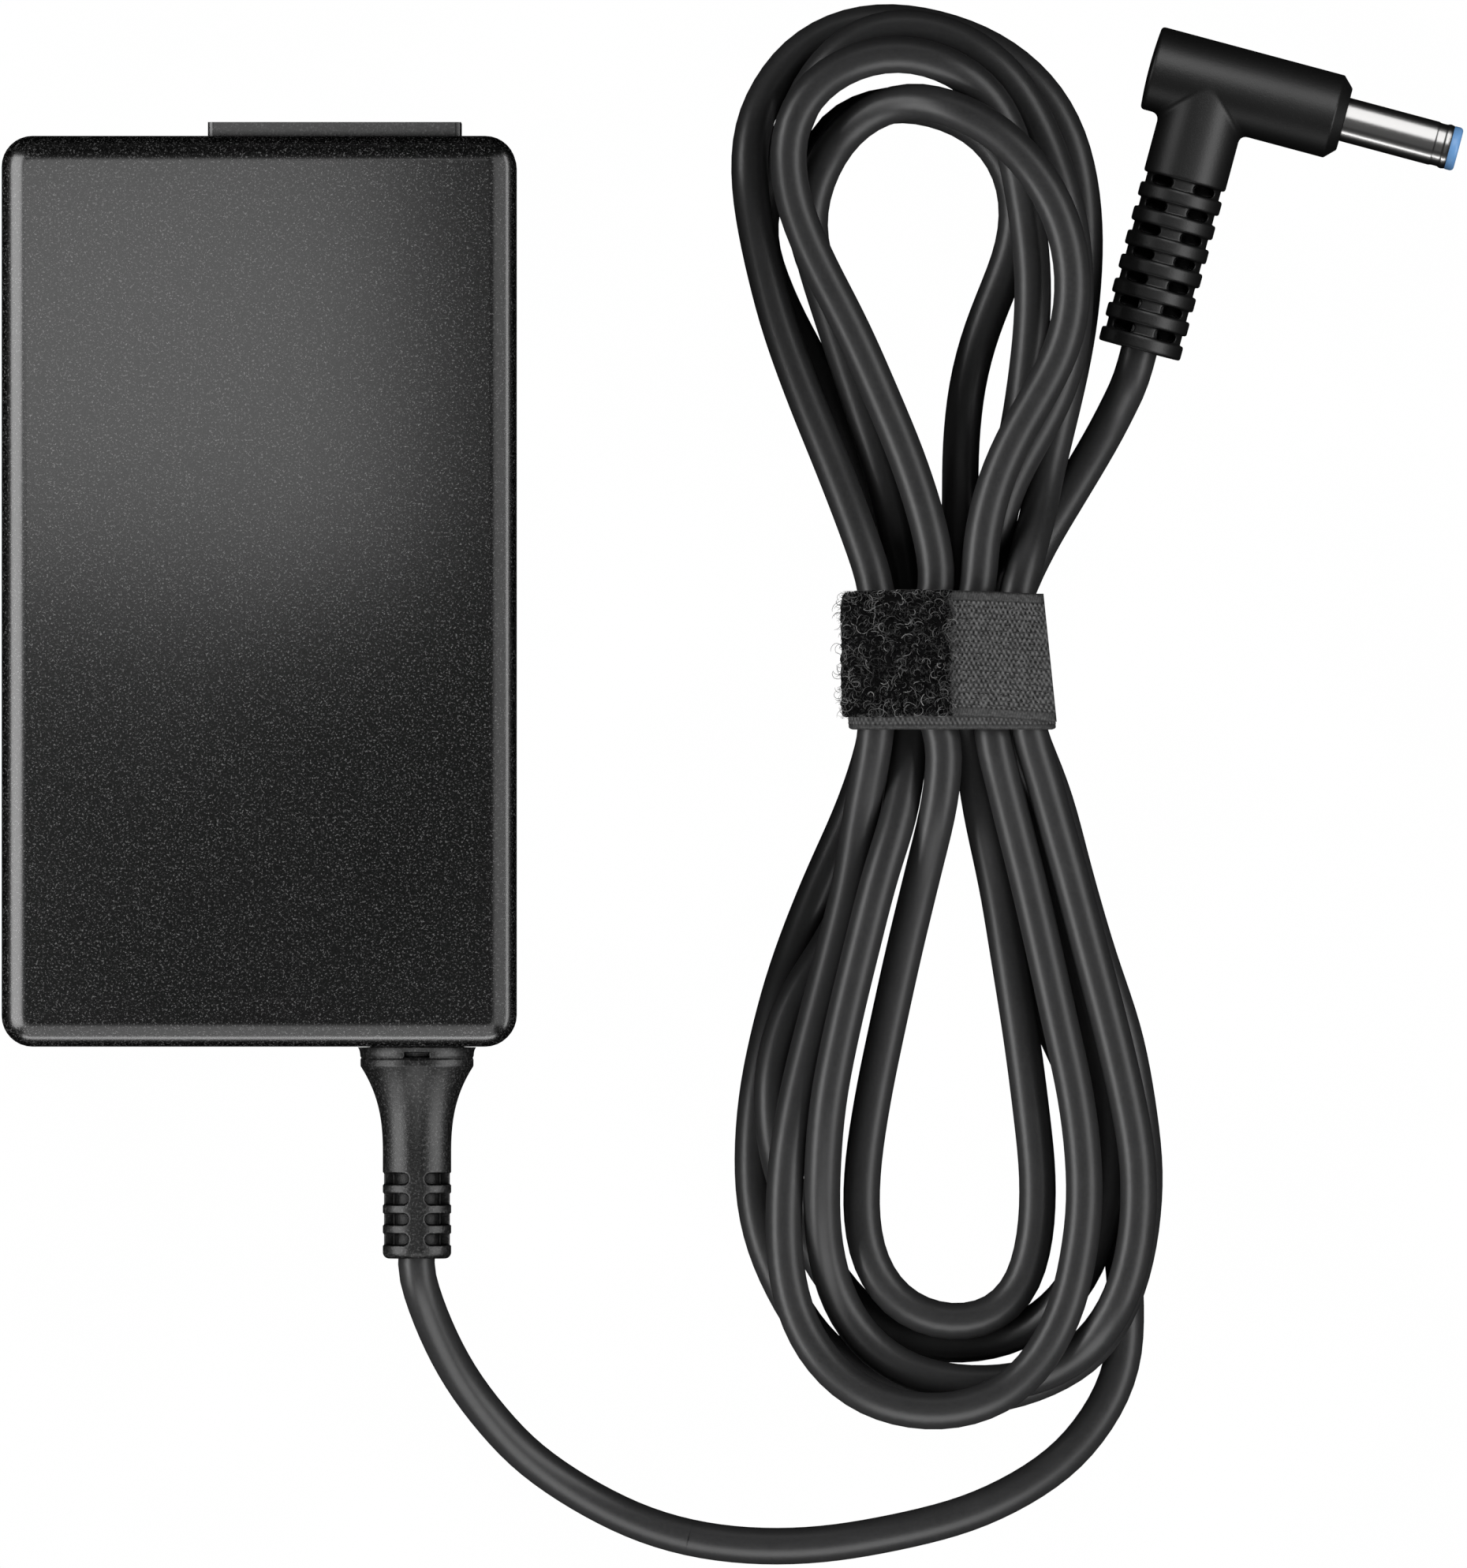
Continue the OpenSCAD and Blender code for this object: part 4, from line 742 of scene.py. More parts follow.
WAY = [
    # lead
    534.5, 1634, 13.3, 544.5, 1666, 12.2, 561.5, 1706, 10.5, 589, 1755, 8.3, 624, 1801, 6.4, 663, 1843, 4.8, 706, 1876, 3.5, 757, 1907, 2.6, 812, 1933, 2.1, 881, 1953, 1.9, 940, 1961, 1.9, 1000, 1962.5, 1.9, 1060, 1958, 1.9, 1120, 1948, 1.9, 1177, 1935.5, 1.9, 1227, 1921, 1.9, 1273, 1901, 1.9, 1315, 1877, 1.9, 1355, 1846, 1.9, 1388, 1806, 1.9, 1412, 1764, 1.9, 1425, 1722, 1.9, 1428, 1672, 1.9,
    # lead2
    1428, 1645, 1.9, 1427, 1620, 1.9, 1420, 1565, 1.9, 1407, 1500, 1.9, 1390, 1435, 1.9, 1366, 1367, 1.9, 1343, 1318, 1.9, 1321, 1265, 1.9, 1302, 1205, 1.9, 1287, 1130, 1.9, 1264, 1040, 1.95, 1231, 968, 2.7,
    # sC
    1214, 925, 3.4, 1211, 838, 3.4,
    # Cr
    1216, 750, 3.4, 1239, 680, 3.4, 1270, 620, 3.4, 1288, 560, 3.65, 1300, 490, 4.4, 1308, 420, 5.2, 1310, 350, 5.7, 1304, 285, 5.9, 1294, 225, 6.6,
    # Ct
    1278, 163, 7.6, 1248, 115, 8.5, 1200, 82, 9.6, 1142, 68, 9.6, 1085, 78, 9.6, 1042, 103, 9.6,
    # Cl
    1012, 140, 9.7, 1000, 190, 9.7, 1006, 250, 9.7, 1025, 305, 9.7, 1046, 350, 9.7, 1072, 400, 9.7, 1117, 500, 9.8, 1157, 600, 10.3, 1182, 690, 10.9,
    # sU
    1188, 750, 11.1, 1173, 794, 11.1, 1168, 838, 11.1, 1176, 881, 11.1,
    # Ul
    1194, 925, 11.1, 1192, 1010, 11.1, 1172, 1100, 9.2, 1148, 1200, 7.8, 1126, 1300, 6.8, 1106, 1400, 6, 1094, 1490, 5.8, 1094, 1550, 5.8, 1107, 1605, 5.8, 1137, 1648, 5.8,
    # Ub
    1175, 1670, 5.8, 1218, 1676, 5.8, 1258, 1667, 5.8, 1290, 1637, 5.8,
    # Ur
    1310, 1580, 5.8, 1316, 1500, 5.8, 1308, 1410, 5.8, 1295, 1310, 5.8, 1280, 1215, 5.8, 1266, 1130, 5.9, 1243, 1020, 7.4,
    # sE
    1228, 925, 7.5, 1216, 881, 8.7, 1214.5, 838, 10.1, 1225, 794, 11,
    # Er
    1240, 750, 11.1, 1243, 700, 11.1, 1252, 650, 11.1, 1267, 600, 11.1, 1292, 545, 11.1, 1323, 490, 11.1, 1347, 440, 11.1, 1359, 385, 11.1, 1359, 335, 11.1, 1347, 282, 11.1, 1326, 237, 11.1, 1297, 198, 11.1,
    # Et
    1258, 163, 11.3, 1207, 138, 10.8, 1152, 128, 8.6, 1102, 144, 7.2, 1066, 175, 6.1,
    # El
    1043, 213, 5.75, 1029, 255, 5.75, 1027, 300, 5.75, 1038, 345, 5.75, 1055, 400, 5.75, 1088, 500, 5.9, 1119, 600, 6.6, 1140, 690, 7.2,
    # sQ
    1150, 750, 7.25, 1152, 838, 7.25,
    # Ql
    1156, 915, 7.7, 1149, 980, 8.9, 1138, 1040, 10.6, 1119, 1100, 11.6, 1093, 1200, 11.6, 1069, 1300, 11.6, 1050, 1400, 11.3, 1043, 1490, 10, 1043, 1550, 8.8, 1051, 1605, 7.4, 1068, 1655, 6.2,
    # Qb
    1100, 1702, 5.75, 1147, 1736, 5.75, 1200, 1752, 5.75, 1250, 1755, 5.75, 1302, 1749, 5.7,
    # Qr
    1351, 1728, 6.9, 1391, 1694, 8.9, 1419, 1650, 9.7, 1436, 1595, 9.6, 1444, 1530, 9.6, 1442, 1465, 9.6, 1430, 1395, 9.6, 1408, 1300, 9.6, 1383, 1205, 9.6, 1355, 1100, 9.8, 1327, 1000, 10.4,
    # sA
    1309, 925, 11.1, 1307, 838, 11.1,
    # Ar
    1298, 750, 11.1, 1303, 705, 9.9, 1316, 655, 7, 1326, 605, 4.8, 1338, 555, 3.5, 1350, 505, 2.5, 1361, 455, 1.9, 1370, 400, 1.9, 1375, 345, 1.9, 1376, 290, 1.9, 1370, 230, 1.9, 1356, 175, 1.9, 1332, 128, 1.9,
    # At
    1296, 88, 1.9, 1250, 57, 1.9, 1190, 35, 1.9, 1125, 26, 2.1, 1065, 36, 2.2, 1013, 66, 2.6,
    # Al
    975, 114, 3.5, 954, 168, 4.9, 951, 230, 5.9, 959, 290, 5.8, 972, 350, 5.8, 985, 400, 5.9, 1018, 495, 6.9, 1058, 595, 8.5, 1090, 680, 10.2,
    # sO
    1111.5, 750, 11.1, 1112, 838, 11.1,
    # Ol
    1111, 925, 11.1, 1101, 985, 10.2, 1089, 1050, 9.2, 1080, 1110, 9, 1060, 1195, 9, 1034, 1295, 9, 1011, 1390, 9.1, 998, 1470, 9.1, 994, 1545, 9, 998, 1615, 9, 1014, 1675, 9, 1046, 1728, 9.3,
    # Ob
    1094, 1768, 9.6, 1150, 1787, 9.6, 1205, 1789, 9.6, 1258, 1774, 9.6, 1302, 1743, 9.6,
    # Or
    1331, 1702, 9.9, 1353, 1655, 9.8, 1366, 1600, 9.7, 1375, 1530, 9.6, 1373, 1460, 9.6, 1365, 1395, 9.6, 1345, 1300, 9.6, 1323, 1200, 9.6, 1301, 1105, 9.8, 1276, 1005, 10.5,
    # sF
    1260, 925, 11.1, 1262, 881, 9.4, 1259, 838, 8.3, 1241, 794, 7.5,
    # Fr
    1222, 750, 7.4, 1215, 700, 7.3, 1218, 650, 6.4, 1218, 600, 4.9, 1221, 540, 3, 1229, 480, 1.9, 1245, 420, 1.9, 1264, 370, 1.9, 1284, 315, 1.9, 1290, 260, 1.9, 1277, 208, 1.9,
    # Ft
    1247, 168, 1.9, 1200, 142, 1.9, 1145, 131, 1.9, 1092, 141, 1.9, 1054, 166, 1.9,
    # Fl
    1035, 208, 1.9, 1023, 255, 1.9, 1023, 300, 1.9, 1040, 345, 1.9, 1062, 400, 1.9, 1103, 500, 1.9, 1137, 600, 2.2, 1158, 690, 3.1,
    # sN
    1163, 750, 3.4, 1162, 838, 3.4,
    # Nl
    1160, 925, 3.4, 1144, 990, 2.4, 1119, 1060, 2, 1092, 1120, 2.3, 1067, 1170, 3.3, 1042, 1215, 4.6, 1014, 1257, 5.4, 994, 1302, 5.7, 983, 1345, 5.7, 979, 1390, 5.7, 981, 1430, 5.5, 990, 1480, 4.6, 1008, 1530, 3, 1034, 1587, 1.9,
    # Nb
    1068, 1638, 1.9, 1108, 1676, 1.9, 1157, 1699, 1.9, 1212, 1706, 1.9, 1268, 1699, 2, 1318, 1675, 3.6,
    # Nr
    1360, 1634, 5.6, 1386, 1585, 5.75, 1401, 1530, 5.75, 1409, 1465, 5.75, 1408, 1400, 5.7, 1399, 1345, 5.7, 1386, 1290, 5.75, 1366, 1205, 5.75, 1336, 1105, 5.7, 1300, 1018, 5.4, 1273, 960, 4.85,
    # sG
    1262, 925, 3.9, 1257.5, 838, 3.4,
    # Gr
    1261, 750, 4.9, 1264, 700, 6.6, 1266, 655, 7.2, 1280, 615, 7.25, 1299, 575, 7.2, 1322, 535, 7, 1345, 485, 6.6, 1360, 425, 6, 1364, 365, 5.75, 1361, 310, 5.75, 1351, 255, 5.75, 1334, 200, 5.2, 1312, 148, 5.1,
    # Gt
    1282, 100, 5.5, 1240, 63, 5.75, 1190, 40, 5.8, 1135, 34, 5.9, 1085, 50, 5.8, 1048, 82, 5.8,
    # Gl
    1023, 118, 5.3, 1006, 160, 4.1, 984, 210, 2.6, 966, 262, 2, 965, 310, 1.9, 979, 355, 1.9, 1000, 405, 1.9, 1027, 455, 1.9, 1048, 500, 1.9, 1085, 600, 2.2, 1106, 690, 3.1,
    # sM
    1113, 750, 3.4, 1113.5, 838, 3.4,
    # Ml
    1112, 925, 3.4, 1098, 980, 2.4, 1076, 1040, 1.9, 1049, 1100, 1.9, 1020, 1170, 1.9, 995, 1240, 1.9, 976, 1310, 1.9, 961, 1385, 1.9, 955, 1455, 1.9, 957, 1520, 1.9, 970, 1580, 1.9, 994, 1635, 1.9, 1028, 1690, 1.9,
    # Mb
    1072, 1732, 1.9, 1124, 1760, 1.9, 1180, 1772, 1.9, 1240, 1772, 1.9, 1300, 1760, 1.9,
    # Mr
    1350, 1738, 2.2, 1385, 1711, 4.1, 1410, 1678, 5.5, 1430, 1634, 5.75, 1443, 1585, 5.75, 1450, 1535, 5, 1452, 1480, 3.5, 1446, 1420, 2.2, 1427, 1315, 1.9, 1393, 1210, 1.9, 1364, 1110, 1.9, 1337, 1010, 2, 1320, 962, 2.6,
    # sP
    1308, 925, 3.4, 1307, 838, 3.4,
    # P
    1298, 750, 3.4, 1308, 712, 2.6, 1325, 678, 1.9, 1346, 643, 1.9, 1359.5, 620.5, 1.9, 1371, 601, 1.9, 1396, 559, 2.3, 1417, 519, 2.9, 1432, 487, 3.9, 1439, 466.7, 4.3,
]


def spline(P, step):
    """curve through the points with chord-length tangents, then resampled evenly"""
    d = np.linalg.norm(np.diff(P, axis=0), axis=1)
    n = len(P)
    T = np.zeros_like(P)
    T[0] = (P[1] - P[0]) / d[0]; T[-1] = (P[-1] - P[-2]) / d[-1]
    for i in range(1, n - 1):
        T[i] = ((P[i + 1] - P[i]) / d[i] * d[i - 1] + (P[i] - P[i - 1]) / d[i - 1] * d[i]) / (d[i] + d[i - 1])
    out = []
    for i in range(n - 1):
        k = max(6, int(d[i] / 0.2))
        t = (np.arange(k) / k)[:, None]
        out.append((2*t**3 - 3*t**2 + 1) * P[i] + (t**3 - 2*t**2 + t) * d[i] * T[i] + (3*t**2 - 2*t**3) * P[i + 1] + (t**3 - t**2) * d[i] * T[i + 1])
    C = np.concatenate(out + [P[-1:]])
    return resample(C, step)


def resample(C, step):
    s = np.concatenate([[0], np.cumsum(np.linalg.norm(np.diff(C, axis=0), axis=1))])
    m = int(round(s[-1] / step)) + 1
    u = np.linspace(0, s[-1], m)
    return np.stack([np.interp(u, s, C[:, k]) for k in range(3)], 1)


CR = 1.88                       # jacket radius shown
LIFT = pivot("hank_swing")[2] - 1.9         # height of the cable lengths above the plane of the underside
KNOTS = gp(WAY) + np.array([0.0, 0.0, LIFT])
head_pts = np.array([[OX, -HL - RL + 4.0, OZ], [OX, -HL - RL + 1.0, OZ], [OX, PA[1] - 0.4, OZ - 0.05]])
boot_in = [PD + AY * d for d in (1.2, 4.0, 8.0)]
PTS = np.concatenate([head_pts, KNOTS[:-1], [PD], boot_in])
C = spline(PTS, 1.5)
C0 = C.copy()
# relax: a stiff, smooth line that stays near its route, keeps its strands apart and rests on the table
n = len(C)
fix = np.zeros(n)
s = np.concatenate([[0], np.cumsum(np.linalg.norm(np.diff(C, axis=0), axis=1))])
fix[s < 6.6] = 1.0
fix[s > s[-1] - 12.5] = 1.0
I, J = np.triu_indices(n, 8)
near = np.linalg.norm(C[I] - C[J], axis=1) < 7.0
I, J = I[near], J[near]
strap_y = (-14.6, 0.6)
for it in range(260):
    # bending: pull towards a smooth line
    D = np.zeros_like(C)
    lap = np.zeros_like(C)
    lap[2:-2] = (-C[:-4] + 4 * C[1:-3] - 6 * C[2:-2] + 4 * C[3:-1] - C[4:]) / 16.0
    D += 0.9 * lap
    D += 0.035 * (C0 - C)
    # keep spacing even along the line
    seg = np.diff(C, axis=0); L = np.linalg.norm(seg, axis=1); L0 = 1.5
    c = (0.25 * (L - L0) / L)[:, None] * seg
    D[:-1] += c; D[1:] -= c
    # contact
    w = C[I] - C[J]
    dist = np.linalg.norm(w, axis=1)
    pen = np.maximum(0, 2 * CR + 0.02 - dist)
    k = pen > 0
    if k.any():
        push = (0.42 * pen[k] / dist[k])[:, None] * w[k]
        np.add.at(D, I[k], push); np.add.at(D, J[k], -push)
    C = C + D * (1 - fix)[:, None]
    C[:, 2] = np.maximum(C[:, 2], CR + LIFT)
    ins = (C[:, 1] > strap_y[0]) & (C[:, 1] < strap_y[1]) & (C[:, 0] > 50)
    C[ins, 0] = np.clip(C[ins, 0], 60.25 + CR, 78.15 + 1.4 * np.clip((-1.2 - C[ins, 1]) / 12.7, 0, 1) - CR)
    C[ins, 2] = np.clip(C[ins, 2], 1.45 + LIFT + CR, 13.02 + LIFT - CR)
PB, PC = pivot("hank_swing"), pivot("tail_swing")


def nearest(p, lo=0, hi=None):
    hi = n if hi is None else hi
    return lo + int(np.argmin(np.linalg.norm(C[lo:hi] - p, axis=1)))


low = nearest(gp([881, 1953, 1.9])[0])
ib = nearest(PB)
ic = nearest(PC, n - 120)
idd = nearest(PD, n - 60)
cuts = [0, low, ib + 10, ic - 8, ic + 6, n - 1]
names = ["cable_from_brick", "cable_to_hank", "cable_hank", "cable_hank_end", "cable_tail_end"]
cable = {}
for k in range(5):
    a, b = cuts[k], cuts[k + 1] + 1
    seg = C[a:b]
    t = np.arange(len(seg)); fine = 1
    P = seg
    Tn = np.gradient(C, axis=0); Tn /= np.linalg.norm(Tn, axis=1)[:, None]
    if k > 0:
        P = np.concatenate([[P[0] - Tn[a] * 0.15], P])
    V, Fc = tube(P, CR, 18)
    cable[names[k]] = mesh_obj(names[k], V, Fc, M["cable_jacket"], sharp=60)


def blend_at(o):
    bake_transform(o)


blend_at(cable["cable_from_brick"])
blend_at(cable["cable_to_hank"])
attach(cable["cable_hank"], "hank")
blend_at(cable["cable_hank_end"])
blend_at(cable["cable_tail_end"])
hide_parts("cable_outlet", "cable_lead")
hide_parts("cable_coil")
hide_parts("cable_tail")
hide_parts("plug_cable_end")

# --------------------------------------------------------------------- strap
sb_lo, sb_hi = mmbox("strap_band")
sf_lo, sf_hi = mmbox("strap_flap")
sp_lo, sp_hi = mmbox("strap_pile")
PH = pivot("strap_peel")
rng = np.random.default_rng(11)


def noise2(U, V, seed, cell):
    """smooth random field between -0.5 and 0.5"""
    r = np.random.default_rng(seed)
    nx, ny = int((U.max() - U.min()) / cell) + 4, int((V.max() - V.min()) / cell) + 4
    g = r.random((nx, ny))
    x = (U - U.min()) / cell; y = (V - V.min()) / cell
    i, j = x.astype(int), y.astype(int)
    fx, fy = x - i, y - j
    fx, fy = fx * fx * (3 - 2 * fx), fy * fy * (3 - 2 * fy)
    return (g[i, j] * (1 - fx) + g[i + 1, j] * fx) * (1 - fy) + (g[i, j + 1] * (1 - fx) + g[i + 1, j + 1] * fx) * fy - 0.5


def weave(u, v, pu, pv, w, seed, sel=0.75):
    """open loop weave from 0 (hole) to 1 (knot), u along the strap, v across its width w; the value sets the height
    and also the colour, as painted shade in the holes and a painted highlight on the knots
    """
    uu = u + 0.12 * noise2(u, v, seed, 1.1) + 0.04 * noise2(u, v, seed + 1, 0.3)
    vv = v + 0.12 * noise2(u, v, seed + 2, 1.3)
    row = np.floor(2 * vv / pv)
    a = 0.5 + 0.5 * np.cos(2 * np.pi * (uu / pu + 0.5 * (row % 2)))
    b = 0.5 + 0.5 * np.cos(2 * np.pi * (2 * vv / pv - row - 0.5))
    k = np.clip(0.10 + 1.15 * a * b + 0.45 * (1 - b) + 0.50 * noise2(u, v, seed + 3, 0.2), 0, 1)
    rib = 0.42 + 0.10 * np.cos(2 * np.pi * (u + 0.3 * v) / 0.26) + 0.35 * noise2(u, v, seed + 4, 0.18)
    d = np.minimum(v, w - v)
    s_ = np.clip((d - sel) / 0.3, 0, 1)
    edge = 0.25 * np.exp(-((d - sel - 0.2) / 0.10) ** 2)
    return np.clip(k * s_ + rib * (1 - s_) - edge, 0, 1)


def store_tone_and_shading(ob, tone):
    """store a 0..1 value on the points of the mesh for its material: painted shade and highlight of the weave on the
    strap pieces, other tones on the fibres and the turn
    """
    at = ob.data.attributes.new("tone", "FLOAT", "POINT")
    at.data.foreach_set("value", np.asarray(tone, np.float32))


def band_profile():
    """closed loop round the bundle in X-Z, evenly spaced, with outward normals"""
    x0, x1, z0, z1, r = sb_lo[0], sb_hi[0], sb_lo[2] + 0.05, sb_hi[2], 2.3
    P = []
    for cx, cz, a0 in ((x1 - r, z1 - r, 0), (x0 + r, z1 - r, 90), (x0 + r, z0 + r, 180), (x1 - r, z0 + r, 270)):
        for k in range(13):
            t = math.radians(a0 + 90 * k / 12)
            P.append((cx + r * math.cos(t), cz + r * math.sin(t)))
    P.append(P[0])
    P = np.array(P)
    s_ = np.concatenate([[0], np.cumsum(np.linalg.norm(np.diff(P, axis=0), axis=1))])
    m_ = int(s_[-1] / 0.11)
    u = np.linspace(0, s_[-1], m_ + 1)[:-1]
    Q_ = np.stack([np.interp(u, s_, P[:, 0]), np.interp(u, s_, P[:, 1])], 1)
    T_ = np.roll(Q_, -1, 0) - np.roll(Q_, 1, 0)
    T_ /= np.linalg.norm(T_, axis=1)[:, None]
    N_ = np.stack([T_[:, 1], -T_[:, 0]], 1)
    return u, Q_, N_


def edge_roll(v, w, r):
    """thickness share near the selvedges, v from 0 to w"""
    d = np.minimum(v, w - v)
    return np.sqrt(np.clip(1 - (1 - np.clip(d / r, 0, 1)) ** 2, 0, 1))


u, Q_, N_ = band_profile()
W_ = sb_hi[1] - sb_lo[1]
vs = np.concatenate([np.linspace(0, 0.3, 4), np.arange(0.4, W_ - 0.35, 0.11), np.linspace(W_ - 0.3, W_, 4)])
nu, nv = len(u), len(vs)
UU, VV = np.meshgrid(u, vs, indexing="ij")
TT = weave(UU, VV, 0.46, 0.86, W_, 41, 0.30)
hh = 0.10 * (TT - 0.5)
th = 0.8
er = edge_roll(VV, W_, 0.35)
outer = -th / 2 + th / 2 * er + hh * er
inner = -th / 2 - th / 2 * er
Vo = np.stack([Q_[:, None, 0] + N_[:, None, 0] * outer, sb_lo[1] + VV, Q_[:, None, 1] + N_[:, None, 1] * outer], -1)
Vi = np.stack([Q_[:, None, 0] + N_[:, None, 0] * inner, sb_lo[1] + VV, Q_[:, None, 1] + N_[:, None, 1] * inner], -1)
Vi = Vi[:, 1:-1]
V = np.concatenate([Vo.reshape(-1, 3), Vi.reshape(-1, 3)])
off = nu * nv
F = []
for i in range(nu):
    i2 = (i + 1) % nu
    for j in range(nv - 1):
        F.append((i * nv + j, i * nv + j + 1, i2 * nv + j + 1, i2 * nv + j))
    for j in range(nv - 3):
        a, b = off + i * (nv - 2), off + i2 * (nv - 2)
        F.append((a + j + 1, a + j, b + j, b + j + 1))
    a, b = off + i * (nv - 2), off + i2 * (nv - 2)
    F.append((i * nv, i2 * nv, b, a))
    F.append((i2 * nv + nv - 1, i * nv + nv - 1, a + nv - 3, b + nv - 3))
k_ = np.clip((V[:, 0] - 71.0) / 8.5, 0, 1)
t_ = np.clip((sb_hi[1] - V[:, 1]) / W_, 0, 1)
V[:, 0] += k_ * (-1.62 + 1.40 * t_)
band = mesh_obj("strap_loop_band", V, F, M["strap_weave"])
# the weave value doubles as colour: painted shade in the holes, painted highlight on the knots
store_tone_and_shading(band, np.concatenate([TT.reshape(-1), np.full(len(V) - TT.size, 0.4)]))
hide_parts("strap_band"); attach(band, "hank")


def sheet(name, us, v0, v1, top, bot, mat, er_r=0.35, ends=0.35, nvstep=0.09, edge_shift=None, tone=None):
    """closed sheet; top(u, v) and bot(u, v) give heights, thinned towards every edge"""
    w = v1 - v0
    vs = np.concatenate([np.linspace(0, 0.3, 4), np.arange(0.3 + nvstep, w - 0.3, nvstep), np.linspace(w - 0.3, w, 4)])
    U, Vv = np.meshgrid(us, vs, indexing="ij")
    e = edge_roll(Vv, w, er_r) * edge_roll(U - us[0], us[-1] - us[0], ends)
    T, B = top(U, Vv), bot(U, Vv)
    mid = (T + B) / 2
    T = mid + (T - mid) * e
    B = mid - (mid - B) * e
    Y = v1 - Vv
    X = U.copy()
    if edge_shift is not None:
        X, Y = edge_shift(X, Y)
    a = np.stack([X, Y, T], -1); b = np.stack([X, Y, B], -1)
    nu, nv = U.shape
    V = np.concatenate([a.reshape(-1, 3), b.reshape(-1, 3)])
    o = nu * nv
    F = []
    for i in range(nu - 1):
        for j in range(nv - 1):
            F.append((i * nv + j + 1, i * nv + j, (i + 1) * nv + j, (i + 1) * nv + j + 1)[::-1])
            F.append((o + i * nv + j, o + i * nv + j + 1, o + (i + 1) * nv + j + 1, o + (i + 1) * nv + j)[::-1])
    for i in range(nu - 1):
        F.append((i * nv, o + i * nv, o + (i + 1) * nv, (i + 1) * nv)[::-1])
        F.append((i * nv + nv - 1, (i + 1) * nv + nv - 1, o + (i + 1) * nv + nv - 1, o + i * nv + nv - 1)[::-1])
    for j in range(nv - 1):
        F.append((j, j + 1, o + j + 1, o + j)[::-1])
        q = (nu - 1) * nv
        F.append((q + j + 1, q + j, o + q + j, o + q + j + 1)[::-1])
    me = mesh_obj(name, V, F, mat)
    if tone is not None:
        store_tone_and_shading(me, np.concatenate([tone(U, Vv).reshape(-1), np.full(U.size, 0.4)]))
    bm = bmesh.new(); bm.from_mesh(me.data)
    bmesh.ops.remove_doubles(bm, verts=bm.verts, dist=1e-6)
    bmesh.ops.recalc_face_normals(bm, faces=bm.faces)
    bm.to_mesh(me.data); bm.free()
    return me


# woven hook end: from under the fleece to the turn at the right
FY0, FY1 = sf_lo[1], sf_hi[1]
XJ = 69.75                              # where the fleece ends
XR = sf_hi[0]
Z0 = sf_lo[2]


def slant(X, Y):
    # the right end leans outwards towards the lower edge, both long edges arch a little
    t = np.clip((FY1 - Y) / (FY1 - FY0), 0, 1)
    k = np.clip((X - 73.0) / (XR - 73.0), 0, 1)
    arch = 0.36 * np.cos(np.pi * np.clip((X - 67.0) / 24.0, -0.5, 0.5)) - 0.12
    return X + k * (-0.75 + 1.35 * t), Y + arch - 0.22 * k * t


def hook_weave_and_shading(U, Vv):
    return weave(U, Vv, 0.48, 0.88, FY1 - FY0, 61)


def hook_top(U, Vv):
    z = Z0 + 0.72 + 0.16 * np.sin(np.pi * np.clip((U - 59) / 21, 0, 1))
    z = z + 0.20 * (hook_weave_and_shading(U, Vv) - 0.5)
    droop = np.clip((U - (XR - 1.2)) / 1.2, 0, 1)
    return z - 0.75 * droop ** 2


def hook_bot(U, Vv):
    droop = np.clip((U - (XR - 1.2)) / 1.2, 0, 1)
    return Z0 + 0.0 * U - 0.35 * droop ** 2


us = np.arange(60.6, XR + 0.001, 0.07)
hook = sheet("strap_hook_end", us, FY0, FY1, hook_top, hook_bot, M["strap_hook"] if "strap_hook" in M else M["strap_weave"], edge_shift=slant, nvstep=0.07, tone=hook_weave_and_shading)
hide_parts("strap_flap"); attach(hook, "flap")

# fleece pad on top of the free end
PX0, PX1 = sp_lo[0], XJ


def pile_top(U, Vv):
    lumps = 0.22 * noise2(U, Vv, 3, 0.7) + 0.30 * noise2(U, Vv, 4, 0.3) + 0.16 * noise2(U, Vv, 5, 0.15)
    return Z0 + 1.08 + 0.16 * np.sin(np.pi * np.clip((U - 59) / 21, 0, 1)) + lumps


def pile_bot(U, Vv):
    return Z0 + 0.45 + 0.0 * U


def pile_edge(X, Y):
    # rounded corners at the free end
    x = X - PX0
    r = 0.9
    d0, d1 = Y - FY0, FY1 - Y
    d = np.minimum(d0, d1)
    cut = np.where(d < r, r - np.sqrt(np.maximum(r * r - (r - np.clip(d, 0, r)) ** 2, 0)), 0)
    X = np.maximum(X, PX0 + cut)
    # ragged end where the fleece meets the weave, uneven outline elsewhere
    rag = np.clip((X - (PX1 - 1.2)) / 1.2, 0, 1) * (0.55 * noise2(Y, X * 0.2, 8, 0.55) + 0.35 * noise2(Y, X * 0.2, 9, 0.22))
    X = X + rag - 0.22 * np.clip(1 - x / 0.8, 0, 1) * noise2(Y, X * 0.2, 10, 0.35)
    Y = Y + 0.22 * np.clip(1 - d / 0.6, 0, 1) * noise2(X, Y * 0.2, 12, 0.4)
    return slant(X, Y)


us = np.arange(PX0, PX1 + 0.001, 0.1)
pile = sheet("strap_fleece_pad", us, FY0, FY1, pile_top, pile_bot, M["strap_fleece"], er_r=0.6, ends=0.5, nvstep=0.1, edge_shift=pile_edge)
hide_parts("strap_pile"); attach(pile, "flap")

